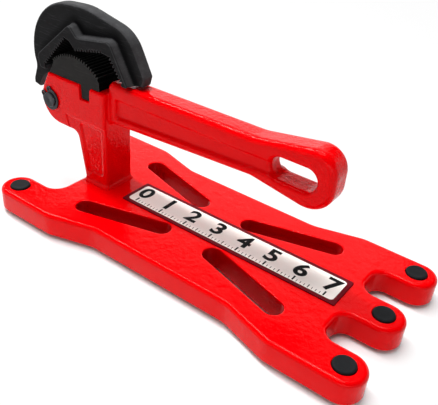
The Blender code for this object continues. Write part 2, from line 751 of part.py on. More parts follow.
def socket_screw(name, parent, location, diameter, length, finish):
    """A screw that stands on its head; the socket is sunk into the head from below."""
    head = diameter * SCREW_HEAD_RATIO / 2
    shank = diameter / 2
    edge = diameter / 12
    top = diameter + length
    profile = [(0, 0), (head - edge, 0), (head, edge), (head, diameter), (shank, diameter),
               (shank, top - edge), (shank - edge, top), (0, top)]
    screw = place(turned_mesh(name, profile), parent, location, finish=finish)
    key = diameter * SCREW_SOCKET_RATIO / math.sqrt(3)
    corners = [(key * math.cos(math.pi * i / 3), key * math.sin(math.pi * i / 3)) for i in range(6)]
    cut(screw, loft_mesh("socket", [plan_ring(corners, -CUT_MARGIN), plan_ring(corners, diameter / 2)]))


def screws(stand, pivot, finish):
    under = FOOT_STANDOFF + SEAT_GAP
    length = PLATE_TOP + UPRIGHT_SCREW_GRIP - under - UPRIGHT_SCREW_DIAMETER
    for name, (x, y) in upright_screw_places().items():
        socket_screw(name, stand, (x, y, under), UPRIGHT_SCREW_DIAMETER, length, finish)
    under = HEAD_UNDERSIDE + SEAT_GAP
    length = HEAD_TOP + HEEL_SCREW_GRIP - under - HEEL_SCREW_DIAMETER
    socket_screw("heel_jaw_screw", pivot, (HEEL_SCREW_U, 0, under), HEEL_SCREW_DIAMETER, length, finish)


# Heel jaw.


def heel_outline():
    """Side view: flat seat, cross key, and an arc of ridges whose tips lie on the arc."""
    seat = HEAD_TOP + SEAT_GAP
    end_turn = math.degrees(math.acos((HEEL_END_U - HEEL_ARC_U) / HEEL_ARC_RADIUS))
    ridges = []
    for i in range(2 * HEEL_TEETH + 1):
        turn = math.radians(end_turn + (HEEL_ARC_START - end_turn) * i / (2 * HEEL_TEETH))
        radius = HEEL_ARC_RADIUS - (HEEL_TOOTH_DEPTH if i % 2 == 0 else 0.0)
        ridges.append((HEEL_ARC_U + radius * math.cos(turn), HEEL_ARC_W + radius * math.sin(turn)))
    return [(HEEL_TOE_U, seat), *heel_key_outline(0.0), (HEEL_END_U, seat), *ridges]


def heel_jaw(pivot, finish):
    half = HEEL_WIDTH / 2
    outline = heel_outline()
    rings = [side_ring(outline, -half), side_ring(outline, half)]
    jaw = place(loft_mesh("heel_jaw", rings), pivot, finish=finish)
    shank = HEEL_SCREW_DIAMETER / 2 + SEAT_GAP
    bore = round_cutter("heel screw hole", shank, -CUT_MARGIN, HEEL_SCREW_GRIP + SEAT_GAP * 2)
    cut(jaw, bore, (HEEL_SCREW_U, 0, HEAD_TOP))


# Hook jaw.


def flat_ridges(start, end, inward):
    """Saw-tooth ridges from start to end; tips lie on the line and roots lie inward of it."""
    start, end = Vector(start), Vector(end)
    count = max(2, round((end - start).length / HOOK_TOOTH_PITCH))
    across = Vector(inward).normalized() * HOOK_TOOTH_DEPTH
    points = []
    for i in range(count):
        tip = start.lerp(end, (i + HOOK_TOOTH_LEAN) / count)
        root = start.lerp(end, (i + 1.0) / count) + across
        points += [tuple(tip), tuple(root)]
    return [tuple(start + across), *points]


def first_flat():
    """Tip line of the first flat, tangent to the heel jaw's arc but for the closed gap."""
    turn = math.radians(FIRST_FLAT_TURN)
    along = Vector((math.cos(turn), math.sin(turn)))
    away = Vector((-along.y, along.x))
    middle = Vector((HEEL_ARC_U, HEEL_ARC_W)) + away * (HEEL_ARC_RADIUS + JAW_CLOSED_GAP)
    return middle + along * FIRST_FLAT_START, middle + along * FIRST_FLAT_END, away


def band_ridges():
    """The gripping line of the hook jaw: three flats with a relief between the first two."""
    start, crest, away = first_flat()
    relief = (crest.x + RELIEF_LENGTH, crest.y)
    second_start = (SECOND_FLAT_START_U, SECOND_FLAT_START_W)
    second_end = (SECOND_FLAT_END_U, SECOND_FLAT_END_W)
    second_away = (SECOND_FLAT_START_W - SECOND_FLAT_END_W, SECOND_FLAT_END_U - SECOND_FLAT_START_U)
    third_start = (THIRD_FLAT_U, SECOND_FLAT_END_W)
    third_away = (SECOND_FLAT_END_W - TOE_W, TOE_U - THIRD_FLAT_U)
    toe = (TOE_U, TOE_W)
    return [
        *flat_ridges(start, crest, away),
        relief,
        *flat_ridges(second_start, second_end, second_away),
        *flat_ridges(third_start, toe, third_away)[:-1],
        toe,
    ]


def shifted_corners(corners, distances):
    """Corners of the outline after edge i, from corner i to the next, has moved out by distance i."""
    moved = []
    for i, (x, y, radius) in enumerate(corners):
        here = Vector((x, y))
        edge_in = (here - Vector(corners[i - 1][:2])).normalized()
        edge_out = (Vector(corners[(i + 1) % len(corners)][:2]) - here).normalized()
        out_in = Vector((edge_in.y, -edge_in.x)) * distances[i - 1]
        out_out = Vector((edge_out.y, -edge_out.x)) * distances[i]
        turn = edge_in.x * edge_out.y - edge_in.y * edge_out.x
        gap = out_out - out_in
        reach = (gap.x * edge_out.y - gap.y * edge_out.x) / turn
        spot = here + out_in + edge_in * reach
        change = math.copysign(min(distances[i - 1], distances[i]), turn)
        moved.append((spot.x, spot.y, max(radius + change, radius / 8)))
    return moved


def band_mesh():
    """The toothed band, whose back swells towards the web in a concave sweep."""
    ridges = band_ridges()
    back = [
        (TOE_U + BAND_TOE_LENGTH, TOE_W, BAND_TOE_RADIUS),
        (BAND_SHOULDER_U, BAND_SHOULDER_W, BAND_SHOULDER_RADIUS),
        (BAND_VALLEY_U, BAND_VALLEY_W, BAND_VALLEY_RADIUS),
        (BAND_PEAK_U, BAND_PEAK_W, BAND_PEAK_RADIUS),
        (BAND_HEEL_U, BAND_HEEL_W, BAND_HEEL_RADIUS),
        (BAND_TAIL_U, BAND_TAIL_W, BAND_TAIL_RADIUS),
    ]
    end = (BAND_TAIL_U + BAND_TAIL_LENGTH, BAND_TAIL_W, 0.0)
    corners = back + [end] + [(u, w, 0.0) for u, w in ridges]
    on_back = [i < len(back) - 1 for i in range(len(corners))]
    half = BAND_WIDTH / 2
    web = WEB_THICKNESS / 2
    sweep = [(half, 0.0), (half - BAND_EDGE_RADIUS, BAND_EDGE_RADIUS)]
    for angle in quarter_steps(3):
        y = web + BAND_SPREAD * (1 - math.sin(angle))
        sweep.append((y, BAND_EDGE_RADIUS + BAND_SPREAD * (1 - math.cos(angle))))
    rings = []
    for y, distance in sweep:
        moved = shifted_corners(corners, [distance if flag else 0.0 for flag in on_back])
        rings.append(side_ring(rounded_outline(moved), -y))
    mirrored = [[(x, -y, z) for x, y, z in ring] for ring in reversed(rings)]
    return loft_mesh("toothed band", rings + mirrored)


def web_outline():
    """Side view of the web: crown arc, neck, thumb tail, pivot lug, and a line inside the band."""
    start, crest, away = first_flat()
    inside = away * (BAND_SPREAD + HOOK_TOOTH_DEPTH)
    crown = arc((CROWN_U, CROWN_W), CROWN_RADIUS, CROWN_START, CROWN_END)
    lug = arc((0, 0), LUG_RADIUS, LUG_START, LUG_END)
    tip = WEB_EDGE_RADIUS * 1.25
    corners = [
        (TOE_U + BAND_TOE_LENGTH / 2, TOE_W + WEB_TOE_LIFT, 0.0),
        (WEB_TOE_U, TOE_W, tip),
        (WEB_TIP_U, WEB_TIP_W, WEB_TIP_RADIUS),
        (WEB_SHOULDER_U, WEB_SHOULDER_W, WEB_SHOULDER_RADIUS),
        (WEB_TOP_U, WEB_TOP_W, WEB_TOP_RADIUS),
        *[(u, w, 0.0) for u, w in crown],
        (TAIL_NECK_U, TAIL_NECK_W, TAIL_NECK_RADIUS),
        (-TAIL_REACH, TAIL_HIGH_W, TAIL_HIGH_RADIUS),
        (-TAIL_REACH, TAIL_LOW_W, tip),
        (-TAIL_REACH + TAIL_TIP_LENGTH, 0.0, tip),
        (THUMB_HOLLOW_U, THUMB_HOLLOW_W, THUMB_HOLLOW_RADIUS),
        (LUG_BACK_U, LUG_BACK_W, LUG_BACK_RADIUS),
        *[(u, w, 0.0) for u, w in lug],
        (HEEL_TOE_U - JAW_CLOSED_GAP, HEAD_TOP - LUG_FRONT_DROP, LUG_FRONT_RADIUS),
        (*(start + inside), 0.0),
        (*(crest + inside * 0.8), 0.0),
        (SECOND_FLAT_START_U, SECOND_FLAT_START_W + BAND_SPREAD, 0.0),
        (BAND_SHOULDER_U, SECOND_FLAT_END_W + BAND_SPREAD, 0.0),
    ]
    return rounded_outline(corners)


def hook_jaw(pivot, finish):
    web = rim_rings(web_outline(), WEB_THICKNESS / 2, WEB_EDGE_RADIUS, 2)
    jaw = place(loft_mesh("hook_jaw", web), pivot, finish=finish)
    join(jaw, band_mesh())
    lay_along_y = (-math.pi / 2, 0, 0)
    reach = WEB_THICKNESS / 2 + CUT_MARGIN
    cut(jaw, round_cutter("pin bore", BORE_RADIUS, -reach, reach), rotation=lay_along_y)
    tang_floor = -SPRING_TANG - SEAT_GAP * 2
    tang_hole = round_cutter("tang hole", SPRING_WIRE / 2 + SEAT_GAP, tang_floor, CUT_MARGIN)
    cut(jaw, tang_hole, spring_point(0.0), lay_along_y)


# Pivot pin and retaining rings.


def pivot_pin(pivot, finish):
    groove_start = HEAD_WIDTH / 2
    groove_end = groove_start + RING_THICKNESS + SEAT_GAP * 2
    end = HEAD_WIDTH / 2 + PIN_STICK_OUT
    waist = PIN_RADIUS - RING_GROOVE_DEPTH
    half = [
        (PIN_RADIUS, groove_start),
        (waist, groove_start),
        (waist, groove_end),
        (PIN_RADIUS, groove_end),
        (PIN_RADIUS, end - PIN_CHAMFER),
        (PIN_RADIUS - PIN_CHAMFER, end),
        (0, end),
    ]
    profile = [(r, -h) for r, h in reversed(half)] + half
    place(turned_mesh("pivot_pin", profile), pivot, rotation=(-math.pi / 2, 0, 0), finish=finish)


def retaining_rings(pivot, finish):
    inner = PIN_RADIUS - RING_GROOVE_DEPTH + SEAT_GAP
    outer = inner + RING_WIDTH
    lug = outer + RING_LUG_RADIUS
    start = RING_GAP_TURN + RING_GAP_ANGLE / 2
    end = RING_GAP_TURN - RING_GAP_ANGLE / 2 + 360
    step = RING_LUG_ANGLE
    outline = without_repeats(
        arc((0, 0), lug, start, start + step)
        + arc((0, 0), outer, start + step * 1.4, end - step * 1.4)
        + arc((0, 0), lug, end - step, end)
        + arc((0, 0), inner, end, start)
    )
    near = HEAD_WIDTH / 2 + SEAT_GAP
    far = near + RING_THICKNESS
    for name, way in (("retaining_ring_right", -1), ("retaining_ring_left", 1)):
        rings = [side_ring(outline, way * near), side_ring(outline, way * far)]
        ring = place(loft_mesh(name, rings), pivot, finish=finish)
        for turn in (start + step / 2, end - step / 2):
            eye = (lug + inner) / 2
            spot = (eye * math.cos(math.radians(turn)), 0, eye * math.sin(math.radians(turn)))
            hole = round_cutter("plier hole", RING_LUG_RADIUS / 2, near - CUT_MARGIN, far + CUT_MARGIN)
            cut(ring, hole, spot, (-math.pi / 2 * way, 0, 0))


# Torsion spring, in the pocket behind the lug.


def spring_near_end():
    return EAR_GAP / 2 + SEAT_GAP + SPRING_WIRE / 2


def spring_far_end():
    return spring_near_end() + SPRING_TURNS * SPRING_PITCH


def spring_point(turns):
    angle = 2 * math.pi * turns
    y = spring_near_end() + turns * SPRING_PITCH
    return (SPRING_COIL_RADIUS * math.cos(angle), y, -SPRING_COIL_RADIUS * math.sin(angle))


def spring_path():
    """Wire centre line: a tang into the hook jaw, the coils, and a tang into the ear."""
    steps = math.ceil(SPRING_TURNS * 18)
    coils = [spring_point(SPRING_TURNS * i / steps) for i in range(steps + 1)]
    x, y, z = coils[0]
    near = [(x, y - SPRING_TANG, z), (x, y - SPRING_WIRE, z), (x, y - SPRING_WIRE / 2, z)]
    x, y, z = coils[-1]
    far = [(x, y + SPRING_WIRE / 2, z), (x, y + SPRING_WIRE, z), (x, y + SPRING_TANG, z)]
    return near + coils[1:-1] + far


def least_self_gap(path):
    """Least clear distance between stretches of the wire that are not neighbours along it."""
    apart = 6
    pairs = ((a, b) for i, a in enumerate(path) for b in path[i + apart:])
    return min(math.dist(a, b) for a, b in pairs) - SPRING_WIRE


def jaw_spring(pivot, finish):
    path = spring_path()
    curve = bpy.data.curves.new("jaw_spring", "CURVE")
    curve.dimensions = "3D"
    curve.bevel_depth = SPRING_WIRE / 2
    curve.bevel_resolution = 1
    curve.use_fill_caps = True
    wire = curve.splines.new("POLY")
    wire.points.add(len(path) - 1)
    for point, spot in zip(wire.points, path):
        point.co = (*spot, 1.0)
    carrier = bpy.data.objects.new("spring path", curve)
    bpy.context.scene.collection.objects.link(carrier)
    graph = bpy.context.evaluated_depsgraph_get()
    mesh = bpy.data.meshes.new_from_object(carrier.evaluated_get(graph))
    bpy.data.objects.remove(carrier)
    mesh.name = "jaw_spring"
    work = bmesh.new()
    work.from_mesh(mesh)
    bmesh.ops.remove_doubles(work, verts=work.verts, dist=1e-6)
    bmesh.ops.recalc_face_normals(work, faces=work.faces)
    work.to_mesh(mesh)
    work.free()
    place(mesh, pivot, finish=finish)
    print(f"jaw_spring least gap to itself {least_self_gap(path) * 1000:.2f} mm")


def frame_empty(name, parent, location):
    empty = bpy.data.objects.new(name, None)
    bpy.context.scene.collection.objects.link(empty)
    empty.parent = parent
    empty.location = location
    return empty


def main():
    clear_scene()
    red_enamel = material("red_enamel", (0.70, 0.006, 0.008), 0.28)
    jaw_steel = material("blackened_jaw_steel", (0.030, 0.030, 0.031), 0.5, 0.6)
    oxide_steel = material("black_oxide_steel", (0.018, 0.018, 0.020), 0.35, 0.8)
    spring_steel = material("spring_steel", (0.25, 0.25, 0.26), 0.3, 1.0)
    rubber = material("black_rubber", (0.020, 0.021, 0.022), 0.6)
    vinyl = material("label_vinyl", (0.80, 0.76, 0.72), 0.35)
    stand = frame_empty("stand_frame", None, (MIDDLE_SHIFT, 0, 0))
    pivot = frame_empty("pivot_frame", stand, (PIN_X, 0, PIN_Z))
    base_plate(stand, red_enamel)
    rubber_feet(stand, rubber)
    label_plate(stand, vinyl)
    vise_upright(pivot, red_enamel)
    screws(stand, pivot, oxide_steel)
    heel_jaw(pivot, jaw_steel)
    hook_jaw(pivot, jaw_steel)
    pivot_pin(pivot, oxide_steel)
    retaining_rings(pivot, oxide_steel)
    jaw_spring(pivot, spring_steel)


main()
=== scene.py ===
"""Looks of a portable pipe vise stand: a red base plate on rubber feet, a cast upright with a handle,
a keyed heel jaw and a hook jaw that swings on a cross pin. Metres, +Z up, in the frame of the CAD part.
"""

import math

import bmesh
import bpy
import numpy as np
from mathutils import Matrix, Vector


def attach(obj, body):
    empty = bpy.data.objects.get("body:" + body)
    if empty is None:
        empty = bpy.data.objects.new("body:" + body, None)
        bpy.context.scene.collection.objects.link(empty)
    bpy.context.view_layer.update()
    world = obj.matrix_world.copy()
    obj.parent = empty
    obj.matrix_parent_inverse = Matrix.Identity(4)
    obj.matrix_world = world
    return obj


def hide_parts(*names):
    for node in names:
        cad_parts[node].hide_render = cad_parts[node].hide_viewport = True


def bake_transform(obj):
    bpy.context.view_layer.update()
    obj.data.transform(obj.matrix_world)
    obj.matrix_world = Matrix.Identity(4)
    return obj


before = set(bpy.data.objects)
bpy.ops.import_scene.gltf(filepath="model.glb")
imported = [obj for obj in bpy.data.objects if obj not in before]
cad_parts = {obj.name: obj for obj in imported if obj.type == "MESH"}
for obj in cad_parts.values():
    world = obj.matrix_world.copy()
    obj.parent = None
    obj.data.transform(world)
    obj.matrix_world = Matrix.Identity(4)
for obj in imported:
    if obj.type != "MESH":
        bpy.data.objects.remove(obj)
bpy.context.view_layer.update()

scene = bpy.context.scene

# Camera: a short telephoto view from the front right and from above, as in the photograph.
# Its place and turn were fitted to the plate's corners, the feet and the pin.
camera_data = bpy.data.cameras.new("camera")
camera_data.sensor_fit = "HORIZONTAL"
camera_data.sensor_width = 36.0
camera_data.lens = 51.2248
camera_data.shift_x = -0.00484
camera_data.shift_y = 0.00461
camera_data.clip_start = 0.02
camera_data.clip_end = 20.0
camera = bpy.data.objects.new("camera", camera_data)
scene.collection.objects.link(camera)
camera_right = Vector((0.800703, 0.594763, 0.071634))
camera_down = Vector((0.376082, -0.405986, -0.832909))
camera_ahead = Vector((-0.466301, 0.693853, -0.548754))
camera.matrix_world = Matrix((camera_right, -camera_down, -camera_ahead)).transposed().to_4x4()
camera.location = (0.245412, -0.330652, 0.309919)
scene.camera = camera

# Base plate: 19 mm steel plate, flame cut to a waisted outline with three prongs in front, two ears
# behind and four slanted slots, its top edge ground round, then powder coated gloss red in one coat.
plate_middle, plate_low, plate_top = 0.01085, 0.003, 0.022
foot_reach, foot_spread, foot_hole = 0.307 / 2, 0.118 / 2, 0.0083
ear_radius, ear_end = 0.015, foot_reach + 0.0161
prong_root, prong_root_radius = foot_reach - 0.0245, 0.0105
ear_root, ear_root_radius = -foot_reach + 0.0275, 0.012
waist_reach, waist_spread, waist_slope, waist_radius = 0.064, 0.1245 / 2, 0.040, 0.028
slot_inner, slot_outer, slot_radius = (0.0256, 0.0252), (0.0910, 0.0438), 0.00775
outline_rims, slot_rims, hole_rims = (0.0035, 0.0012), (0.0014, 0.0008), (0.0007, 0.0004)
screw_x, screw_spread = -0.0973, 0.0072
bore_head, bore_shank, bore_seat = 0.0067, 0.0043, 0.0116


def arc(centre, radius, start, end, step=5.0):
    """Points on an arc, angles in degrees, both ends included."""
    count = max(2, math.ceil(abs(end - start) / step))
    turns = [math.radians(start + (end - start) * i / count) for i in range(count + 1)]
    return [(centre[0] + radius * math.cos(a), centre[1] + radius * math.sin(a)) for a in turns]


def rounded(corners, step=5.0):
    """A closed outline through (across, up, radius) corners, each rounded by a tangent arc."""
    spots = [Vector(c[:2]) for c in corners]
    count = len(spots)
    ways = [(spots[(i + 1) % count] - spots[i]).normalized() for i in range(count)]
    bends = [(-ways[i - 1]).angle(ways[i]) / 2 for i in range(count)]
    reaches = [corners[i][2] / math.tan(bends[i]) for i in range(count)]
    shares = []
    for i in range(count):
        wanted = reaches[i] + reaches[(i + 1) % count]
        shares.append(min(1.0, (spots[(i + 1) % count] - spots[i]).length / max(wanted, 1e-9)))
    points = []
    for i, spot in enumerate(spots):
        reach = reaches[i] * min(shares[i], shares[i - 1])
        if reach < 1e-9:
            points.append(tuple(spot))
            continue
        centre = spot + (ways[i] - ways[i - 1]).normalized() * (reach / math.cos(bends[i]))
        first = spot - ways[i - 1] * reach - centre
        last = spot + ways[i] * reach - centre
        begin = math.degrees(math.atan2(first.y, first.x))
        sweep = -math.degrees(first.angle_signed(last))
        points += arc(centre, reach * math.tan(bends[i]), begin, begin + sweep, step)
    return [p for i, p in enumerate(points) if math.dist(p, points[i - 1]) > 1e-7]


def outwards(points):
    """Outward miter of each point of an anticlockwise outline: it moves both edges out by one unit."""
    spots = np.array(points)
    ahead = np.roll(spots, -1, 0) - spots
    ahead /= np.linalg.norm(ahead, axis=1)[:, None]
    normal = np.stack((ahead[:, 1], -ahead[:, 0]), 1)
    both = normal + np.roll(normal, 1, 0)
    return 2 * both / (both ** 2).sum(1)[:, None]


def new_piece(name, mesh, body, slot, *nodes):
    """Puts a finished mesh into the scene on a body, standing for the CAD nodes that are named."""
    piece = bpy.data.objects.new(name, mesh)
    scene.collection.objects.link(piece)
    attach(piece, body)
    if nodes:
        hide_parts(*nodes)


def plate_edges():
    """Every edge of the plate: its points, how far its upper and lower rims are rounded, and 1 for a slot."""
    side, gap_side = foot_spread + ear_radius, foot_spread - ear_radius
    half = [
        (ear_end, ear_radius, ear_radius),
        (prong_root, ear_radius, prong_root_radius),
        (prong_root, gap_side, prong_root_radius),
        (ear_end, gap_side, ear_radius),
        (ear_end, side, ear_radius),
        (waist_reach + waist_slope, side, waist_radius),
        (waist_reach, waist_spread, waist_radius),
        (-waist_reach, waist_spread, waist_radius),
        (-waist_reach - waist_slope, side, waist_radius),
        (-ear_end, side, ear_radius),
        (-ear_end, gap_side, ear_radius),
        (ear_root, gap_side, ear_root_radius),
    ]
    edges = [(rounded(half + [(x, -y, r) for x, y, r in reversed(half)]), *outline_rims, 0.0)]
    for way_x in (-1, 1):
        for way_y in (-1, 1):
            inner = (way_x * slot_inner[0], way_y * slot_inner[1])
            outer = (way_x * slot_outer[0], way_y * slot_outer[1])
            turn = math.degrees(math.atan2(outer[1] - inner[1], outer[0] - inner[0]))
            points = arc(inner, slot_radius, turn + 90, turn + 270)
            points += arc(outer, slot_radius, turn - 90, turn + 90)
            edges.append((points[::-1], *slot_rims, 1.0))
    feet = [(foot_reach, way * foot_spread) for way in (-1, 0, 1)]
    feet += [(-foot_reach, way * foot_spread) for way in (-1, 1)]
    return edges + [(arc(foot, foot_hole, 360, 0)[:-1], *hole_rims, 0.0) for foot in feet]


def plate_mesh():
    """Walls and rounds of every edge as rings with their true normals, then the two faces filled in. The
    walls of the slots take the second material, a deeper red that is painted shade.
    """
    under_steps, over_steps, shade_from, shade_to = 4, 8, -1.2, 0.9
    quarter, lip, nip = math.pi / 2, 0.0003, 0.0001
    work = bmesh.new()
    normals, slot_shade = [], []
    faces_to_fill = ([], [])

    def close_wall(loops):
        for lower, upper in zip(loops, loops[1:]):
            for i in range(len(lower)):
                work.faces.new((lower[i - 1], lower[i], upper[i], upper[i - 1]))
        for ring, edges in zip((loops[0], loops[-1]), faces_to_fill):
            edges += [work.edges.get((ring[i - 1], ring[i])) for i in range(len(ring))]

    for points, over, under, is_slot in plate_edges():
        out = outwards(points)
        flat = out / np.linalg.norm(out, axis=1)[:, None]
        rings = []
        for turn in [quarter * i / under_steps for i in range(under_steps + 1)]:
            height = plate_low + under * (1 - math.cos(turn))
            rings.append((under * (1 - math.sin(turn)), height, turn - quarter))
        for turn in [quarter * i / over_steps for i in range(over_steps + 1)]:
            rings.append((over * (1 - math.cos(turn)), plate_top - over * (1 - math.sin(turn)), turn))
        loops = []
        for inset, height, turn in rings:
            spots = np.array(points) - out * inset
            loops.append([work.verts.new((x + plate_middle, y, height)) for x, y in spots])
            normals += [(*(n * math.cos(turn)), math.sin(turn)) for n in flat]
            # Slot walls take the second material, whose deeper red is a painted shade.
            slot_shade += [is_slot * (shade_from < turn < shade_to)] * len(flat)
        close_wall(loops)
    bore_steps = [(bore_head + lip, plate_low, -1), (bore_head, plate_low + lip, 0),
                  (bore_head, bore_seat - nip, 0), (bore_head - nip, bore_seat, -1),
                  (bore_shank + nip, bore_seat, -1), (bore_shank, bore_seat + nip, 0),
                  (bore_shank, plate_top - nip, 0), (bore_shank + nip, plate_top, 1)]
    ring = arc((0, 0), 1.0, 360, 0)[:-1]
    for y in (-screw_spread, screw_spread):
        loops = []
        for radius, height, up in bore_steps:
            loops.append([work.verts.new((screw_x + radius * a, y + radius * b, height)) for a, b in ring])
            normals += [(0, 0, up) if up else (-a, -b, 0) for a, b in ring]
            slot_shade += [0.0] * len(ring)
        close_wall(loops)
    for edges, up in zip(faces_to_fill, (-1, 1)):
        bmesh.ops.triangle_fill(work, use_beauty=True, edges=edges, normal=(0, 0, up))
    bmesh.ops.recalc_face_normals(work, faces=work.faces)
    mesh = bpy.data.meshes.new("base_plate_coated")
    work.to_mesh(mesh)
    work.free()
    mesh.shade_smooth()
    for face in mesh.polygons:
        face.material_index = int(min(slot_shade[i] for i in face.vertices) > 0.5)
    mesh.normals_split_custom_set_from_vertices(normals)
    return mesh


def linear(code):
    """Linear colour of an sRGB hex code."""
    parts = [int(code[i:i + 2], 16) / 255 for i in (0, 2, 4)]
    return (*[p / 12.92 if p <= 0.04045 else ((p + 0.055) / 1.055) ** 2.4 for p in parts], 1.0)


def feed(tree, node, inputs):
    """Sets a node's inputs, each to a value or to another node's output socket."""
    for key, value in inputs.items():
        if isinstance(value, bpy.types.NodeSocket):
            tree.links.new(value, node.inputs[key])
        else:
            node.inputs[key].default_value = value


def add(tree, kind, inputs=None, **settings):
    """Adds a node with its settings and inputs, and gives its output sockets."""
    made = tree.nodes.new(kind)
    for key, value in settings.items():
        setattr(made, key, value)
    feed(tree, made, inputs or {})
    return made.outputs


def new_material(name):
    """An empty node material, its shader, its tree and its Object coordinates."""
    made = bpy.data.materials.new(name)
    made.use_nodes = True
    tree = made.node_tree
    return made, tree.nodes["Principled BSDF"], tree, add(tree, "ShaderNodeTexCoord")["Object"]


def red_powder_coat(name, deep, bright, ior, peel_height, grain_size, grain_height, pit_height):
    """Gloss red polyester powder coat: an even, saturated colour under a clear gloss that breaks up in orange
    peel under 3 mm wide over slow waves, with the metal's own grain just showing through, drawn coarser than
    it is so that it shows. In the slots a deeper, duller colour and a lower ior stand for the shade there:
    painted shade.
    """
    made, shader, tree, spot = new_material(name)
    drift = add(tree, "ShaderNodeTexNoise", {"Vector": spot, "Scale": 1 / 0.045, "Detail": 2.0})["Fac"]
    colour = add(tree, "ShaderNodeMix", {0: drift, 6: linear(deep), 7: linear(bright)}, data_type="RGBA")[2]
    patches = add(tree, "ShaderNodeTexNoise", {"Vector": spot, "Scale": 1 / 0.012, "Detail": 3.0})["Fac"]
    rough = add(tree, "ShaderNodeMapRange", {
        "Value": patches, "From Min": 0.3, "From Max": 0.7, "To Min": 0.07, "To Max": 0.15})["Result"]
    waves = add(tree, "ShaderNodeTexNoise", {
        "Vector": spot, "Scale": 1 / 0.013, "Detail": 1.0, "Distortion": 0.6})["Fac"]
    peel = add(tree, "ShaderNodeTexNoise", {
        "Vector": spot, "Scale": 1 / 0.0026, "Detail": 2.0, "Roughness": 0.5})["Fac"]
    grain = add(tree, "ShaderNodeTexNoise", {"Vector": spot, "Scale": 1 / grain_size, "Detail": 3.0})["Fac"]
    pits = add(tree, "ShaderNodeTexVoronoi", {"Vector": spot, "Scale": 1 / 0.009}, feature="F1")["Distance"]
    pit = add(tree, "ShaderNodeMapRange", {"Value": pits, "From Min": 0.04, "From Max": 0.13},
              interpolation_type="SMOOTHSTEP")["Result"]
    bumps = [(waves, 0.00030), (peel, peel_height), (grain, grain_height), (pit, pit_height)]
    normal = None
    for height, size in bumps:
        inputs = {"Height": height, "Strength": 1.0, "Distance": size}
        if normal:
            inputs["Normal"] = normal
        normal = add(tree, "ShaderNodeBump", inputs)["Normal"]
    feed(tree, shader, {"Base Color": colour, "Roughness": rough, "Normal": normal, "IOR": ior,
                        "Specular Tint": linear("FFA8A8")})
    return made


plate = plate_mesh()
plate_grain = {"peel_height": 0.00024, "grain_size": 0.0011, "grain_height": 0.00007, "pit_height": 0.00003}
plate.materials.append(red_powder_coat("red_powder_coat_on_plate", "DC0003", "E80005", 1.26, **plate_grain))
# Second material: the slot walls' deeper, duller red, a painted shade.
plate.materials.append(red_powder_coat(
    "thin_red_powder_coat_in_slots", "AC0002", "B80003", 1.10, **plate_grain))
new_piece("base_plate_coated", plate, "stand", "red_enamel", "base_plate")

# Rubber feet: moulded plugs pressed through the ears and prongs, a low crown on top and a pad below.
# Black nitrile rubber, matt, with a faint moulding haze and a softened rim. Its skin grain is drawn coarser
# than it is, so that it shows.
foot_rows = {
    "rubber_feet_front": (3, (foot_reach, -foot_spread), foot_spread,
                          ("rubber_foot_front_right", "rubber_foot_front_middle", "rubber_foot_front_left")),
    "rubber_feet_rear": (2, (-foot_reach, -foot_spread), 2 * foot_spread,
                         ("rubber_foot_rear_right", "rubber_foot_rear_left")),
}
rubber, shader, tree, spot = new_material("moulded_black_rubber")
haze = add(tree, "ShaderNodeTexNoise", {"Vector": spot, "Scale": 1 / 0.004, "Detail": 4.0})["Fac"]
tone = add(tree, "ShaderNodeMix", {0: haze, 6: linear("141517"), 7: linear("1E2022")}, data_type="RGBA")[2]
dull = add(tree, "ShaderNodeMapRange", {"Value": haze, "To Min": 0.46, "To Max": 0.62})["Result"]
grain = add(tree, "ShaderNodeTexNoise", {"Vector": spot, "Scale": 1 / 0.0006, "Detail": 2.0})["Fac"]
bump = add(tree, "ShaderNodeBump", {"Height": grain, "Distance": 0.00002, "Strength": 1.0})["Normal"]
feed(tree, shader, {"Base Color": tone, "Roughness": dull, "Normal": bump, "IOR": 1.15})


def skin(name, rings):
    """A closed skin over rings of equally many points, its ends closed by one face each."""
    work = bmesh.new()
    loops = [[work.verts.new(p) for p in ring] for ring in rings]
    for lower, upper in zip(loops, loops[1:]):
        for i in range(len(lower)):
            work.faces.new((lower[i - 1], lower[i], upper[i], upper[i - 1]))
    work.faces.new(loops[0])
    work.faces.new(loops[-1])
    bmesh.ops.recalc_face_normals(work, faces=work.faces)
    mesh = bpy.data.meshes.new(name)
    work.to_mesh(mesh)
    work.free()
    mesh.shade_smooth()
    mesh.set_sharp_from_angle(angle=math.radians(38))
    return mesh


def turned(name, profile, sides=64):
    """A solid turned about Z through (radius, height) points; the first and last ring are the end faces."""
    turns = [2 * math.pi * i / sides for i in range(sides)]
    return skin(name, [[(r * math.cos(a), r * math.sin(a), h) for a in turns] for r, h in profile])


def row_tree():
    """Geometry nodes that set copies of a template object in a straight row and make one mesh of them."""
    tree = bpy.data.node_groups.new("row of like pieces", "GeometryNodeTree")
    kinds = {"Template": "Object", "Count": "Int", "Start": "Vector", "Step": "Vector", "Finish": "Material"}
    for name, kind in kinds.items():
        tree.interface.new_socket(name, in_out="INPUT", socket_type="NodeSocket" + kind)
    tree.interface.new_socket("Geometry", in_out="OUTPUT", socket_type="NodeSocketGeometry")
    given = add(tree, "NodeGroupInput")
    places = add(tree, "GeometryNodeMeshLine", {
        "Count": given["Count"], "Start Location": given["Start"], "Offset": given["Step"]},
        mode="OFFSET", count_mode="TOTAL")["Mesh"]
    template = add(tree, "GeometryNodeObjectInfo", {"Object": given["Template"]})["Geometry"]
    copies = add(tree, "GeometryNodeInstanceOnPoints", {"Points": places, "Instance": template})["Instances"]
    real = add(tree, "GeometryNodeRealizeInstances", {"Geometry": copies})["Geometry"]
    coated = add(tree, "GeometryNodeSetMaterial", {"Geometry": real, "Material": given["Finish"]})["Geometry"]
    add(tree, "NodeGroupOutput", {"Geometry": coated})
    return tree


row_of_pieces = row_tree()


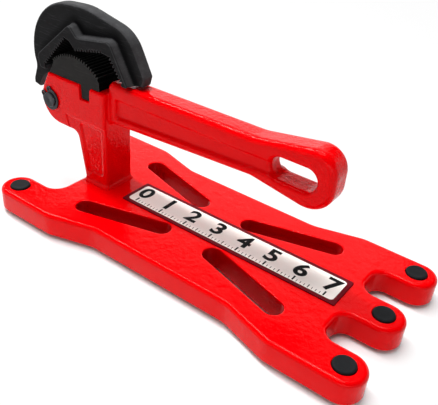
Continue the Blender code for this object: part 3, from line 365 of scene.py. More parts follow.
def row_mesh(name, template_mesh, count, start, step, finish):
    """One plain mesh of a row, baked from the row tree; the carrier and the template are removed."""
    template = bpy.data.objects.new(name + " template", template_mesh)
    carrier = bpy.data.objects.new(name + " carrier", bpy.data.meshes.new(name + " carrier"))
    scene.collection.objects.link(template)
    scene.collection.objects.link(carrier)
    modifier = carrier.modifiers.new("row", "NODES")
    modifier.node_group = row_of_pieces
    values = {"Template": template, "Count": count, "Start": start, "Step": step, "Finish": finish}
    for socket in row_of_pieces.interface.items_tree:
        if socket.in_out == "INPUT":
            modifier[socket.identifier] = values[socket.name]
    carrier.update_tag()
    graph = bpy.context.evaluated_depsgraph_get()
    mesh = bpy.data.meshes.new_from_object(carrier.evaluated_get(graph), depsgraph=graph)
    mesh.name = name
    carrier.modifiers.remove(modifier)
    bpy.data.objects.remove(carrier)
    bpy.data.objects.remove(template)
    return mesh


def foot_profile():
    """Half section of a foot, from the middle of its pad up to the middle of its crown."""
    stem, pad, pad_edge, play, middle = 0.0080, 0.0100, 0.0007, 0.0003, 0.0004
    pad_top, crown_top, edge_wide, edge_high = plate_low - play, plate_top + 0.0014, 0.0012, 0.00108
    under = [(middle, 0.0006), (pad * 0.45, 0.0005), (pad * 0.52, 0.0), (pad - pad_edge, 0.0),
             (pad - 0.0002, 0.0002), (pad, pad_edge), (pad, pad_top - play), (pad - play, pad_top),
             (stem, pad_top)]
    rim = [(stem - edge_wide + edge_wide * math.cos(a), crown_top - edge_high + edge_high * math.sin(a))
           for a in [math.radians(15 * i) for i in range(7)]]
    dish = [(stem * 0.78, crown_top), (stem * 0.70, crown_top - 0.00012), (stem * 0.3, crown_top - 0.00005),
            (middle, crown_top)]
    return under + rim + dish


for name, (count, (x, y), pitch, nodes) in foot_rows.items():
    foot = turned(name + " foot", foot_profile())
    mesh = row_mesh(name, foot, count, (plate_middle + x, y, 0), (0, pitch, 0), rubber)
    new_piece(name, mesh, "stand", "rubber", *nodes)

# Upright: one ductile iron casting, jaw head, post with recessed sides and a flared foot, and a channelled
# handle that ends in a hanging loop. Shot blasted, then the same gloss red coat, which rounds every edge.
# Its places are measured across and up from the pin.
pin_x, pin_z = -0.14685, 0.086
head_half, head_edge, handle_half, handle_edge = 0.0155, 0.0022, 0.0105, 0.0048
head_top, head_low, nose_x, snout_x, snout_radius = 0.0225, -0.0204, -0.0030, 0.0081, 0.0202
post_front, seat, foot_fillet = 0.0621, -0.064, 0.0056
step_depth, panel_depth, channel_depth = 0.0010, 0.0012, 0.0030
loop_x, loop_z, loop_half, loop_radius, loop_edge = 0.2305, 0.0175, 0.00975, 0.00875, 0.0034
fork_end, fork_half, pin_bore = 0.0124, 0.00615, 0.00665
pocket_radius, pocket_end, tang_reach, tang_bore, tang_end = 0.0100, 0.01203, 0.0084, 0.0011, 0.01373
heel_screw_x, heel_bore, heel_head_bore, heel_head_seat = 0.0195, 0.0033, 0.0051, head_low + 0.0066
post_bore_end = seat + 0.0268


def polygon_distance(points):
    """A function of (across, up) arrays that gives the signed distance to a closed outline."""
    spots = np.array(points, float)

    def distance(a, b):
        best = np.full(np.broadcast(a, b).shape, np.inf)
        crossed = np.zeros(best.shape, bool)
        for (ax, ay), (bx, by) in zip(np.roll(spots, 1, 0), spots):
            ex, ey = bx - ax, by - ay
            px, py = a - ax, b - ay
            along = np.clip((px * ex + py * ey) / (ex * ex + ey * ey), 0, 1)
            best = np.minimum(best, (px - ex * along) ** 2 + (py - ey * along) ** 2)
            if ey:
                crossed ^= ((ay > b) != (by > b)) & (px < ex * py / ey)
        return np.sqrt(best) * np.where(crossed, -1.0, 1.0)

    return distance


def slab(flat, across, half, edge):
    """A flat shape given a thickness, with rounded rims."""
    a, b = flat + edge, np.abs(across) - half + edge
    return np.minimum(np.maximum(a, b), 0) + np.hypot(np.maximum(a, 0), np.maximum(b, 0)) - edge


def both_within(a, b, edge):
    """Where two shapes overlap, the edge between them rounded."""
    return np.minimum(-edge, np.maximum(a, b)) + np.hypot(np.maximum(a + edge, 0), np.maximum(b + edge, 0))


def joined(a, b, fillet):
    """Two shapes as one, with a fillet where they meet."""
    near = np.hypot(np.maximum(fillet - a, 0), np.maximum(fillet - b, 0))
    return np.maximum(fillet, np.minimum(a, b)) - near


def recessed(body, outline, wide, face, depth, lean, inner_edge, outer_edge):
    """A body with an outline sunk into both its side faces, the walls leaning in, both edges rounded."""
    wall = np.clip((face - wide) / depth, 0, 1) * lean
    cut = both_within(outline + wall, face - depth - wide, inner_edge)
    return both_within(body, -cut, outer_edge)


def net_mesh(name, field, low, high, cell, **marks):
    """Skin of a solid that a field describes, negative inside: one point in each grid cell that the surface
    crosses, drawn onto the surface. The attribute rim is over 0.5 on outer edges and under it in hollows.
    Each mark becomes an attribute of its own name, its function's value at each point.
    """
    low = np.array(low)
    counts = np.ceil((np.array(high) - low) / cell).astype(int) + 1
    axes = [low[i] + cell * np.arange(counts[i]) for i in range(3)]
    values = field(axes[0][:, None, None], axes[1][None, :, None], axes[2][None, None, :])
    inside = values < 0
    corners = [(i, j, k) for i in (0, 1) for j in (0, 1) for k in (0, 1)]
    total = np.zeros(counts - 1, int)
    for i, j, k in corners:
        total += inside[i:counts[0] - 1 + i, j:counts[1] - 1 + j, k:counts[2] - 1 + k]
    cells = np.argwhere((total > 0) & (total < 8))
    at = {c: values[tuple((cells + c).T)] for c in corners}
    middle = np.zeros((len(cells), 3))
    found = np.zeros(len(cells))
    for first in corners:
        for axis in range(3):
            if first[axis]:
                continue
            last = tuple(v + (i == axis) for i, v in enumerate(first))
            a, b = at[first], at[last]
            hit = (a < 0) != (b < 0)
            share = np.where(hit, a / np.where(hit, a - b, 1), 0)
            spot = np.array(first, float) + share[:, None] * (np.arange(3) == axis)
            middle += spot * hit[:, None]
            found += hit
    points = low + (cells + middle / found[:, None]) * cell

    def sample(offset):
        moved = points + offset
        return field(moved[:, 0], moved[:, 1], moved[:, 2])

    step = cell * 0.2
    for _ in range(3):
        slope = np.stack([(sample(way) - sample(-way)) / (2 * step) for way in step * np.eye(3)], 1)
        move = slope * (sample(0.0) / np.maximum((slope ** 2).sum(1), 0.05))[:, None]
        points = points - np.clip(move, -cell / 2, cell / 2)
    reach = 0.0007
    bend = sum(sample(way) + sample(-way) for way in reach * np.eye(3)) - 6 * sample(0.0)
    number = np.full(counts - 1, -1)
    number[tuple(cells.T)] = np.arange(len(cells))
    quads = []
    for axis in range(3):
        along, aside = (axis + 1) % 3, (axis + 2) % 3
        here, there = [np.take(inside, range(s, counts[axis] - 1 + s), axis) for s in (0, 1)]
        edges = np.argwhere(here != there)
        edges = edges[(edges[:, along] > 0) & (edges[:, aside] > 0)]
        leaving = here[tuple(edges.T)]
        ring = []
        for da, db in ((-1, -1), (0, -1), (0, 0), (-1, 0)):
            moved = edges.copy()
            moved[:, along] += da
            moved[:, aside] += db
            ring.append(number[tuple(np.minimum(moved, counts - 2).T)])
        ring = np.stack(ring, 1)
        quads.append(np.where(leaving[:, None], ring, ring[:, ::-1]))
    mesh = bpy.data.meshes.new(name)
    mesh.from_pydata(points.tolist(), [], np.concatenate(quads).tolist())
    mesh.shade_smooth()
    levels = {"rim": np.clip(0.5 + bend / (4 * reach), 0, 1)}
    levels |= {mark: where(points[:, 0], points[:, 1], points[:, 2]) for mark, where in marks.items()}
    for mark, level in levels.items():
        mesh.attributes.new(mark, "FLOAT", "POINT").data.foreach_set("value", level.astype(np.float32))
    return mesh


def upright_field():
    """The casting as a field: head and handle joined, then the recesses, slots and bores taken out."""
    nose = Vector((nose_x - snout_x, head_top))
    tangent = math.degrees(math.atan2(nose.y, nose.x) + math.acos(snout_radius / nose.length))
    head = polygon_distance(rounded(
        [(nose_x, head_top, 0.0)]
        + [(u, max(w, head_low), 0.0) for u, w in arc((snout_x, 0), snout_radius, tangent, 270)]
        + [(0.0290, head_low, 0.007), (0.0378, seat - 0.004, 0.0), (post_front, seat - 0.004, 0.0),
           (post_front, head_top, 0.0)]))
    handle = polygon_distance(rounded([
        (0.0546, -0.0043, 0.0), (0.198, 0.0032, 0.030), (0.2395, -0.0036, 0.012), (0.2618, -0.0036, 0.019),
        (0.2618, 0.0412, 0.0165), (0.2440, 0.0412, 0.010), (0.198, 0.0335, 0.045), (0.0606, 0.0325, 0.006),
        (0.0606, 0.0177, 0.0), (0.0546, 0.0177, 0.0)]))
    step_line = polygon_distance([
        (0.0205, -0.080), (0.080, -0.080), (0.080, -0.0085), (0.0165, -0.0085), (0.0205, -0.0224)])
    panel = polygon_distance(rounded([
        (0.0402, -0.0537, 0.003), (0.0571, -0.0537, 0.003), (0.0571, -0.011, 0.003),
        (0.0323, -0.011, 0.003)]))
    channel = polygon_distance(rounded([
        (0.0690, 0.0031, 0.003), (0.2213, 0.0102, 0.0), (0.2213, 0.0210, 0.0), (0.0690, 0.0201, 0.003)]))
    key = polygon_distance([(0.0340, 0.0300), (0.0348, 0.0107), (0.0456, 0.0107), (0.0464, 0.0300)])

    def field(x, y, z):
        u, w = x - pin_x, z - pin_z
        wide, from_pin = np.abs(y), np.hypot(u, w)
        body = slab(head(u, w), y, head_half, head_edge)
        body = recessed(body, step_line(u, w), wide, head_half, step_depth, 0.0, 0.0005, 0.0006)
        post_half = head_half - step_depth
        body = recessed(body, panel(u, w), wide, post_half, panel_depth, 0.0006, 0.0006, 0.0007)
        body = joined(body, w - (seat - 0.0007), foot_fillet)
        body = joined(body, slab(handle(u, w), y, handle_half, handle_edge), 0.0016)
        body = recessed(body, channel(u, w), wide, handle_half, channel_depth, 0.0012, 0.0012, 0.0012)
        loop = np.hypot(np.maximum(np.abs(u - loop_x) - loop_half, 0), w - loop_z) - loop_radius
        fork = np.maximum(u - fork_end, wide - fork_half)
        for cut, edge in ((loop, loop_edge), (key(u, w), 0.0005), (fork, 0.0006)):
            body = both_within(body, -cut, edge)
        pocket = np.maximum(from_pin - pocket_radius, np.maximum(-y, y - pocket_end))
        tang = np.maximum(np.hypot(u, w - tang_reach) - tang_bore, np.maximum(-y, y - tang_end))
        screw = np.hypot(u - heel_screw_x, y)
        bore = np.minimum(screw - heel_bore, np.maximum(screw - heel_head_bore, w - heel_head_seat))
        bore = np.maximum(bore, -w - 0.03)
        post_bore = np.hypot(x - screw_x, wide - screw_spread) - bore_shank
        post_bore = np.maximum(post_bore, w - post_bore_end)
        for cut in (from_pin - pin_bore, pocket, tang, bore, post_bore):
            body = np.maximum(body, -cut)
        return np.maximum(body, seat - 0.0004 - w)

    return field


upright = net_mesh("vise_upright_coated", upright_field(), cell=0.00078,
                   low=(pin_x - 0.0140, -0.0224, pin_z + seat - 0.0021),
                   high=(pin_x + 0.2636, 0.0224, pin_z + 0.0430))
upright.materials.append(red_powder_coat(
    "red_powder_coat_on_cast_iron", "DC0003", "E80005", 1.26,
    peel_height=0.00032, grain_size=0.0014, grain_height=0.00018, pit_height=0.00012))
new_piece("vise_upright_coated", upright, "stand", "red_enamel", "vise_upright")

# Heel jaw: a forged steel block with a cross key, milled to an arc of 21 fine ridges, held from below by one
# screw. Hardened and phosphated black, with steel just showing through on the ridges and the outer edges.
jaw_half, jaw_edge, heel_under, heel_end, heel_hole_end = 0.0135, 0.00018, head_top + 0.0003, 0.0553, 0.0351
ridge_count, ridge_arc, tip_radius, tooth_depth = 21, (0.0278, 0.0060), 0.0388, 0.0024
ridges_from, ridges_to = math.acos((heel_end - ridge_arc[0]) / tip_radius), math.radians(132)


def phosphated_steel(name, dark, pale, worn_and_lit):
    """Black phosphate on forged steel: soft, dark grey crystals that scatter the light in a broad sheen, a
    little paler where edges are rubbed, paler on a marked edge, worn and partly a painted highlight, and on a
    marked ledge, a painted highlight, with short scratches from pipes, and near black in hollows and on the
    web beside a ledge, a painted shade.
    Crystals and scratches are drawn coarser than they are, so that they show.
    """
    made, shader, tree, spot = new_material(name)
    marks = ("rim", "edge", "oil")
    rim, edge, oil = [add(tree, "ShaderNodeAttribute", attribute_name=mark)["Fac"] for mark in marks]
    cloud = add(tree, "ShaderNodeTexNoise", {
        "Vector": spot, "Scale": 1 / 0.011, "Detail": 5.0, "Roughness": 0.6})["Fac"]
    colour = add(tree, "ShaderNodeMix", {0: cloud, 6: linear(dark), 7: linear(pale)}, data_type="RGBA")[2]
    fleck = add(tree, "ShaderNodeTexNoise", {
        "Vector": spot, "Scale": 1 / 0.0016, "Detail": 4.0, "Roughness": 0.7})["Fac"]
    ragged = add(tree, "ShaderNodeMath", {0: fleck, 1: 0.34, 2: rim}, operation="MULTIPLY_ADD")[0]
    rubbed = add(tree, "ShaderNodeMapRange", {
        "Value": ragged, "From Min": 0.70, "From Max": 0.95, "To Max": 0.22},
        interpolation_type="SMOOTHSTEP")["Result"]
    # Marked edges and ledges are drawn paler: wear on the edge, and painted highlight on the edge and ledge.
    edge_wear_and_highlight = add(tree, "ShaderNodeMath", {0: edge, 1: cloud}, operation="MULTIPLY")[0]
    paler = add(tree, "ShaderNodeMath", {0: rubbed, 1: edge_wear_and_highlight}, operation="MAXIMUM")[0]
    stretched = add(tree, "ShaderNodeMapping", {
        "Vector": spot, "Rotation": (0.0, 0.12, 0.0), "Scale": (1 / 0.011, 1 / 0.004, 1 / 0.0009)})["Vector"]
    lines = add(tree, "ShaderNodeTexNoise", {"Vector": stretched, "Scale": 1.0, "Detail": 2.0})["Fac"]
    scratch = add(tree, "ShaderNodeMapRange", {
        "Value": lines, "From Min": 0.58, "From Max": 0.74, "To Max": 0.14})["Result"]
    # Painted shade: hollows and the web beside a ledge are drawn near black.
    hollow_shade = add(tree, "ShaderNodeMapRange", {
        "Value": rim, "From Min": 0.30, "From Max": 0.48, "To Min": 0.75, "To Max": 0.0})["Result"]
    painted_shade = add(tree, "ShaderNodeMath", {0: hollow_shade, 1: oil}, operation="MAXIMUM")[0]
    for share, code in ((paler, worn_and_lit), (scratch, worn_and_lit), (painted_shade, "030304")):
        colour = add(tree, "ShaderNodeMix", {0: share, 6: colour, 7: linear(code)}, data_type="RGBA")[2]
    rough = add(tree, "ShaderNodeMapRange", {
        "Value": cloud, "From Min": 0.3, "From Max": 0.7, "To Min": 0.38, "To Max": 0.50})["Result"]
    crystals = add(tree, "ShaderNodeTexNoise", {
        "Vector": spot, "Scale": 1 / 0.0005, "Detail": 3.0, "Roughness": 0.6})["Fac"]
    forged = add(tree, "ShaderNodeTexNoise", {"Vector": spot, "Scale": 1 / 0.006, "Detail": 3.0})["Fac"]
    normal = add(tree, "ShaderNodeBump", {"Height": forged, "Distance": 0.00025, "Strength": 0.8})["Normal"]
    normal = add(tree, "ShaderNodeBump", {
        "Height": crystals, "Distance": 0.00004, "Strength": 0.8, "Normal": normal})["Normal"]
    feed(tree, shader, {"Base Color": colour, "Roughness": rough, "Normal": normal, "IOR": 1.08})
    return made


def sooty_teeth():
    """Milled teeth drawn near black, a painted shade for the dark mouth: almost no sheen, a few dull brown
    specks, and dark steel showing on the tips, where pipes rub.
    """
    made, shader, tree, spot = new_material("oil_and_scale_on_milled_teeth")
    specks = add(tree, "ShaderNodeTexNoise", {
        "Vector": spot, "Scale": 1 / 0.0013, "Detail": 4.0, "Roughness": 0.7})["Fac"]
    share = add(tree, "ShaderNodeMapRange", {"Value": specks, "From Min": 0.55, "From Max": 0.75})["Result"]
    # The near black of the mouth is a painted shade.
    shade_black = add(tree, "ShaderNodeMix", {0: share, 6: linear("060606"), 7: linear("141211")},
               data_type="RGBA")[2]
    rim = add(tree, "ShaderNodeAttribute", attribute_name="rim")["Fac"]
    tip = add(tree, "ShaderNodeMapRange", {"Value": rim, "From Min": 0.60, "From Max": 0.85})["Result"]
    colour = add(tree, "ShaderNodeMix", {0: tip, 6: shade_black, 7: linear("1F1F1F")}, data_type="RGBA")[2]
    rough = add(tree, "ShaderNodeMapRange", {"Value": specks, "To Min": 0.5, "To Max": 0.8})["Result"]
    bump = add(tree, "ShaderNodeBump", {"Height": specks, "Distance": 0.00005, "Strength": 0.8})["Normal"]
    feed(tree, shader, {"Base Color": colour, "Roughness": rough, "Normal": bump, "IOR": 1.06})
    return made


def finish_jaw(mesh, steel, teeth):
    """Gives a jaw its steel, and the faces of its mouth their own near black, a painted shade."""
    mesh.materials.append(steel)
    mesh.materials.append(teeth)
    ends = np.empty(len(mesh.loops), np.int32)
    mesh.loops.foreach_get("vertex_index", ends)
    mouth = np.empty(len(mesh.vertices), np.float32)
    mesh.attributes["mouth"].data.foreach_get("value", mouth)
    mesh.polygons.foreach_set("material_index", (mouth[ends.reshape(-1, 4)].min(1) > 0.5).astype(np.int32))


def heel_fields():
    """The heel jaw as a field, its side given a thickness and a screw hole, and where its ridges are."""
    arc_u, arc_w = ridge_arc
    end_top = arc_w + math.sqrt((tip_radius - tooth_depth) ** 2 - (heel_end - arc_u) ** 2)
    teeth = []
    for i in range(ridge_count):
        for share, sunk in ((0.10, tooth_depth), (0.38, 0.0), (0.62, 0.0), (0.90, tooth_depth)):
            turn = ridges_from + (ridges_to - ridges_from) * (i + share) / ridge_count
            radius = tip_radius - sunk
            teeth.append((arc_u + radius * math.cos(turn), arc_w + radius * math.sin(turn)))
    side = polygon_distance([
        (-0.0020, heel_under), (0.0346, heel_under), (0.0354, 0.0113), (0.0450, 0.0113), (0.0458, heel_under),
        (heel_end, heel_under), (heel_end, end_top), *teeth])

    def field(x, y, z):
        u, w = x - pin_x, z - pin_z
        body = slab(side(u, w), y, jaw_half, jaw_edge)
        hole = np.maximum(np.hypot(u - heel_screw_x, y) - heel_bore, w - heel_hole_end)
        return np.maximum(body, -hole)

    def ridged(x, y, z):
        u, w = x - pin_x, z - pin_z
        below = tip_radius - tooth_depth - 0.0003 - np.hypot(u - arc_u, w - arc_w)
        below = np.minimum(below, heel_end - 0.0002 - u)
        return np.maximum(below, np.abs(y) - jaw_half + 0.00010) < 0

    return field, ridged


heel_field, heel_mouth = heel_fields()
heel = net_mesh("heel_jaw_ridged", heel_field, cell=0.00034, mouth=heel_mouth,
                low=(pin_x - 0.0030, -jaw_half - 0.0011, pin_z + 0.0102),
                high=(pin_x + 0.0564, jaw_half + 0.0011, pin_z + 0.0460))
# The mouth's faces are drawn near black, a painted shade.
black_mouth_shade = sooty_teeth()
heel_steel = phosphated_steel("black_phosphate_on_ridged_steel", "262626", "323231", "565654")
finish_jaw(heel, heel_steel, black_mouth_shade)
new_piece("heel_jaw_ridged", heel, "stand", "jaw_steel", "heel_jaw")

# Hook jaw: one steel forging, a rounded web with a thumb tail and a pivot lug, and a broad band that stands
# out on both its sides with three flats of leaning teeth. Milled in the mouth, shot blasted and phosphated
# like the heel jaw.
web_half, web_edge, band_half, band_edge, ledge_fillet, draft = 0.00575, 0.0026, 0.014, 0.0004, 0.0026, 0.16
lug_radius, first_turn, closed_gap, tooth_pitch = 0.0118, math.radians(47.6), 0.0012, 0.0030
# The last is how far the painted shade reaches over the web from the ledge.
before_touch, after_touch, ledge_shade_reach = 0.0060, 0.0309, 0.0070


def leaning_teeth(start, end, inward):
    """Teeth along one flat, tips on the line and roots inward of it, both with small flats."""
    start, end = Vector(start), Vector(end)
    count = max(2, round((end - start).length / tooth_pitch))
    deep = Vector(inward).normalized() * tooth_depth
    points = [tuple(start + deep)]
    for i in range(count):
        for share, sunk in ((0.08, 1.0), (0.36, 0.0), (0.56, 0.0), (0.92, 1.0)):
            points.append(tuple(start.lerp(end, (i + share) / count) + deep * sunk))
    return points + [tuple(end + deep)]


def hook_fields():
    """The forging as a field, web and drafted band joined and two bores taken out, then where its mouth is,
    how much paler its trimmed outer edge is drawn, worn and partly a painted highlight, and its ledge, a
    painted highlight, and how dark the web is drawn beside the ledge, a painted shade.
    """
    along = Vector((math.cos(first_turn), math.sin(first_turn)))
    away = Vector((-along.y, along.x))
    touch = Vector(ridge_arc) + away * (tip_radius + closed_gap)
    start, crest = touch - along * before_touch, touch + along * after_touch
    second, second_end, third, toe = (0.0295, 0.0489), (0.0620, 0.0558), (0.0650, 0.0558), (0.0803, 0.0347)
    teeth = leaning_teeth(start, crest, away) + [(crest.x + 0.0050, crest.y)]
    teeth += leaning_teeth(second, second_end, (second[1] - second_end[1], second_end[0] - second[0]))[:-2]
    teeth += leaning_teeth(third, toe, (third[1] - toe[1], toe[0] - third[0]))[2:-2] + [toe]
    gap = polygon_distance(teeth)
    band = polygon_distance(rounded([
        (0.0853, 0.0347, 0.0008), (0.06745, 0.06528, 0.0058), (0.03232, 0.05966, 0.0047),
        (0.02437, 0.06811, 0.0033), (-0.01540, 0.03447, 0.0053), (-0.0123, 0.0243, 0.0012),
        (-0.0070, 0.0243, 0.0)] + [(u, w, 0.0) for u, w in teeth]))
    inside = away * 0.0088
    web = polygon_distance(rounded(
        [(0.0824, 0.0351, 0.0), (0.0930, 0.0347, 0.0018), (0.0952, 0.0425, 0.003), (0.0790, 0.0730, 0.028),
         (0.0340, 0.0826, 0.060)]
        + [(u, w, 0.0) for u, w in arc((0.0170, 0.0330), 0.0480, 95, 187)]
        + [(-0.0286, 0.0195, 0.012), (-0.0336, 0.0064, 0.006), (-0.0336, 0.0018, 0.0018),
           (-0.0264, 0.0, 0.0018), (-0.0211, 0.0098, 0.020), (-0.0110, 0.0184, 0.003)]
        + [(u, w, 0.0) for u, w in arc((0, 0), lug_radius, 140, 440)]
        + [(-0.0032, 0.0215, 0.004), (*(start + inside), 0.0), (*(crest + inside * 0.5), 0.0),
           (0.0295, 0.0559, 0.0), (0.0670, 0.0628, 0.0)]))

    def field(x, y, z):
        u, w = x - pin_x, z - pin_z
        web_side, band_side = web(u, w), band(u, w)
        drafted = band_side - draft * np.maximum(band_half - np.abs(y), 0)
        web_slab = slab(web_side, y, web_half, web_edge)
        body = joined(web_slab, slab(drafted, y, band_half, band_edge), ledge_fillet)
        tang_hole = np.maximum(np.hypot(u - tang_reach, w) - tang_bore, 0.00445 - y)
        for limit in (np.minimum(web_side, band_side), pin_bore - np.hypot(u, w), -tang_hole):
            body = np.maximum(body, limit)
        return body

    def toothed(x, y, z):
        return np.maximum(gap(x - pin_x, z - pin_z) - 0.0004, np.abs(y) - band_half + 0.0002) < 0

    # Paler on the trimmed edge, worn and partly a painted highlight, and on the ledge, a painted highlight.
    def rubbed(x, y, z):
        u, w, wide = x - pin_x, z - pin_z, np.abs(y)
        side, off = web(u, w), band(u, w)
        edge = np.maximum(np.maximum(-side - 0.0012, side - 0.0008), wide - web_half - 0.0002) < 0
        ledge = (off > 0.0002) & (off < draft * (band_half - web_half)) & (wide > web_half + 0.0006)
        return 0.55 * edge + 0.45 * ledge

    # Painted shade: the web is drawn darker close to the ledge, fading out a few mm away.
    def oiled(x, y, z):
        off = band(x - pin_x, z - pin_z) - draft * (band_half - web_half)
        on_web = np.abs(y) > web_half - 0.0010
        return np.where(off > 0.0004, np.clip(1.0 - off / ledge_shade_reach, 0, 1), 0) * on_web

    return field, toothed, rubbed, oiled


hook_field, hook_mouth, hook_wear_and_highlight, hook_ledge_shade = hook_fields()
hook = net_mesh("hook_jaw_forged", hook_field, cell=0.00052, mouth=hook_mouth, edge=hook_wear_and_highlight, oil=hook_ledge_shade,
                low=(pin_x - 0.0346, -band_half - 0.0012, pin_z - 0.0130),
                high=(pin_x + 0.0966, band_half + 0.0012, pin_z + 0.0838))
hook_steel = phosphated_steel("black_phosphate_on_forged_steel", "1A1A1B", "272728", "606062")
finish_jaw(hook, hook_steel, black_mouth_shade)
new_piece("hook_jaw_forged", hook, "hook", "jaw_steel", "hook_jaw")

# Pivot pin, retaining rings and screws: a ground 12.7 mm pin held by two spring steel rings with plier holes,
# and socket head cap screws that come up from below. All blackened in hot oxide and oiled to a dark satin,
# with tool marks that are drawn coarser than they are, so that they show.
pin_radius, ring_y, ring_half, ring_edge = 0.00635, 0.0164, 0.0006, 0.00022

oxide, shader, tree, spot = new_material("black_oxide_on_turned_steel")
centred = add(tree, "ShaderNodeMapping", {"Vector": spot, "Location": (-pin_x, 0, -pin_z)})["Vector"]
tool_marks = add(tree, "ShaderNodeTexWave", {
    "Vector": centred, "Scale": 1 / 0.0028, "Distortion": 0.6, "Detail": 1.0},
    wave_type="RINGS", rings_direction="Y")["Fac"]
film = add(tree, "ShaderNodeTexNoise", {"Vector": spot, "Scale": 1 / 0.003, "Detail": 4.0})["Fac"]
tone = add(tree, "ShaderNodeMix", {0: film, 6: linear("1C1D1F"), 7: linear("34353A")}, data_type="RGBA")[2]
gloss = add(tree, "ShaderNodeMapRange", {
    "Value": film, "From Min": 0.3, "From Max": 0.7, "To Min": 0.28, "To Max": 0.42})["Result"]
bump = add(tree, "ShaderNodeBump", {"Height": tool_marks, "Distance": 0.00002, "Strength": 0.6})["Normal"]
feed(tree, shader, {"Base Color": tone, "Roughness": gloss, "Normal": bump, "Metallic": 0.6})


def pin_profile():
    """Half section of the pin, end to end, with a groove for each ring and a small dimple in each end."""
    groove, groove_end, end, waist, chamfer = 0.0155, 0.0173, 0.0183, pin_radius - 0.0005, 0.0006
    half = [(pin_radius, groove - 0.0002), (pin_radius - 0.0002, groove), (waist, groove),
            (waist, groove_end), (pin_radius - 0.0001, groove_end), (pin_radius, groove_end + 0.0001),
            (pin_radius, end - chamfer), (pin_radius - chamfer, end), (0.0012, end), (0.0003, end - 0.0005)]
    return [(r, -h) for r, h in reversed(half)] + half


pin = turned("pivot_pin_ground", pin_profile(), 96)
pin.transform(Matrix.Translation((pin_x, 0, pin_z)) @ Matrix.Rotation(-math.pi / 2, 4, "X"))
pin.materials.append(oxide)
new_piece("pivot_pin_ground", pin, "stand", "oxide_steel", "pivot_pin")


def ring_field(middle_y):
    """A retaining ring as a field: an open flat ring with an eye at each end."""
    inner, outer, gap, gap_turn = 0.00615, 0.00915, math.radians(17), math.radians(128)
    eye_radius, eye_hole, eye_reach, eye_turn = 0.0024, 0.0011, 0.0089, math.radians(17 + 12)

    def field(x, y, z):
        u, w = x - pin_x, z - pin_z
        far = u * math.cos(gap_turn) + w * math.sin(gap_turn)
        aside = np.abs(w * math.cos(gap_turn) - u * math.sin(gap_turn))
        round_bar = np.abs(np.hypot(u, w) - (inner + outer) / 2) - (outer - inner) / 2
        open_bar = np.maximum(round_bar, far * math.sin(gap) - aside * math.cos(gap))
        eye = np.hypot(far - eye_reach * math.cos(eye_turn), aside - eye_reach * math.sin(eye_turn))
        shape = joined(open_bar, eye - eye_radius, 0.0010)
        shape = np.maximum(np.maximum(shape, eye_hole - eye), inner - np.hypot(u, w))
        return slab(shape, y - middle_y, ring_half, ring_edge)

    return field


for name, middle_y, node in (("ring_near", -ring_y, "retaining_ring_right"),
                             ("ring_far", ring_y, "retaining_ring_left")):
    reach, thick = 0.0124, 0.0010
    mesh = net_mesh(name, ring_field(middle_y), cell=0.00020,
                    low=(pin_x - reach, middle_y - thick, pin_z - reach),
                    high=(pin_x + reach, middle_y + thick, pin_z + reach))
    mesh.materials.append(oxide)
    new_piece(name, mesh, "stand", "oxide_steel", node)


def socket_screw(name, diameter, top):
    """A cap screw standing on its head, with a hexagon socket in the head's underside."""
    head, shank, edge, nip = diameter * 0.8, diameter / 2, diameter / 12, 0.0003
    turns = [math.radians(7.5 * i) for i in range(48)]

    def circle(radius, height):
        return [(radius * math.cos(a), radius * math.sin(a), height) for a in turns]

    def hexagon(size, height):
        reaches = [diameter * 0.4 * size / math.cos(a % math.radians(60) - math.radians(30)) for a in turns]
        return [(r * math.cos(a), r * math.sin(a), height) for r, a in zip(reaches, turns)]

    return skin(name, [
        circle(nip, diameter * 0.52), hexagon(0.9, diameter * 0.5), hexagon(1, diameter * 0.48),
        hexagon(1, nip), hexagon(1.05, 0), circle(head - edge, 0), circle(head, edge),
        circle(head, diameter - nip), circle(head - nip, diameter), circle(shank, diameter),
        circle(shank, top - edge), circle(shank - edge, top), circle(nip, top)])


upright_screw = socket_screw("cap screw", diameter=0.008, top=0.0447)
mesh = row_mesh("upright_screws", upright_screw, 2, (screw_x, -screw_spread, 0.0033),
                (0, 2 * screw_spread, 0), oxide)
new_piece("upright_screws", mesh, "stand", "oxide_steel", "upright_screw_right", "upright_screw_left")
mesh = socket_screw("heel_screw", diameter=0.006, top=0.0546)
mesh.transform(Matrix.Translation((pin_x + heel_screw_x, 0, pin_z - 0.0201)))
mesh.materials.append(oxide)
new_piece("heel_screw", mesh, "stand", "oxide_steel", "heel_jaw_screw")

# Jaw spring: 1.6 mm music wire wound in 1.75 turns, one tang in the hook jaw and one in the upright's ear.
# Drawn wire, left bright and oiled, its die lines drawn coarse so that they show. The real spring winds
# up between its two ends as the hook opens; this mesh keeps one shape.
wire_radius, coil_turns, coil_pitch, coil_start, coil_steps = 0.0008, 1.75, 0.0021, 0.00725, 105
coil = []
for i in range(coil_steps + 1):
    turn = 2 * math.pi * coil_turns * i / coil_steps
    height = coil_start + coil_pitch * turn / (2 * math.pi)
    coil.append((tang_reach * math.cos(turn), height, -tang_reach * math.sin(turn)))
tang = [0.0022, 0.0016, 0.0010, 0.0006]
(first_u, first_y, first_w), (last_u, last_y, last_w) = coil[0], coil[-1]
path = [(first_u, first_y - t, first_w) for t in tang] + coil[2:-2]
path += [(last_u, last_y + t, last_w) for t in reversed(tang)]
wire = bpy.data.curves.new("jaw spring wire", "CURVE")
wire.dimensions = "3D"
wire.bevel_depth = wire_radius
wire.bevel_resolution = 3
wire.use_fill_caps = True
line = wire.splines.new("POLY")
line.points.add(len(path) - 1)
for point, (u, y, w) in zip(line.points, path):
    point.co = (pin_x + u, y, pin_z + w, 1.0)


def curve_mesh(curve):
    """A plain mesh of a curve or a text; the carrier is removed."""
    carrier = bpy.data.objects.new(curve.name, curve)
    scene.collection.objects.link(carrier)
    graph = bpy.context.evaluated_depsgraph_get()
    mesh = bpy.data.meshes.new_from_object(carrier.evaluated_get(graph), depsgraph=graph)
    bpy.data.objects.remove(carrier)
    return mesh


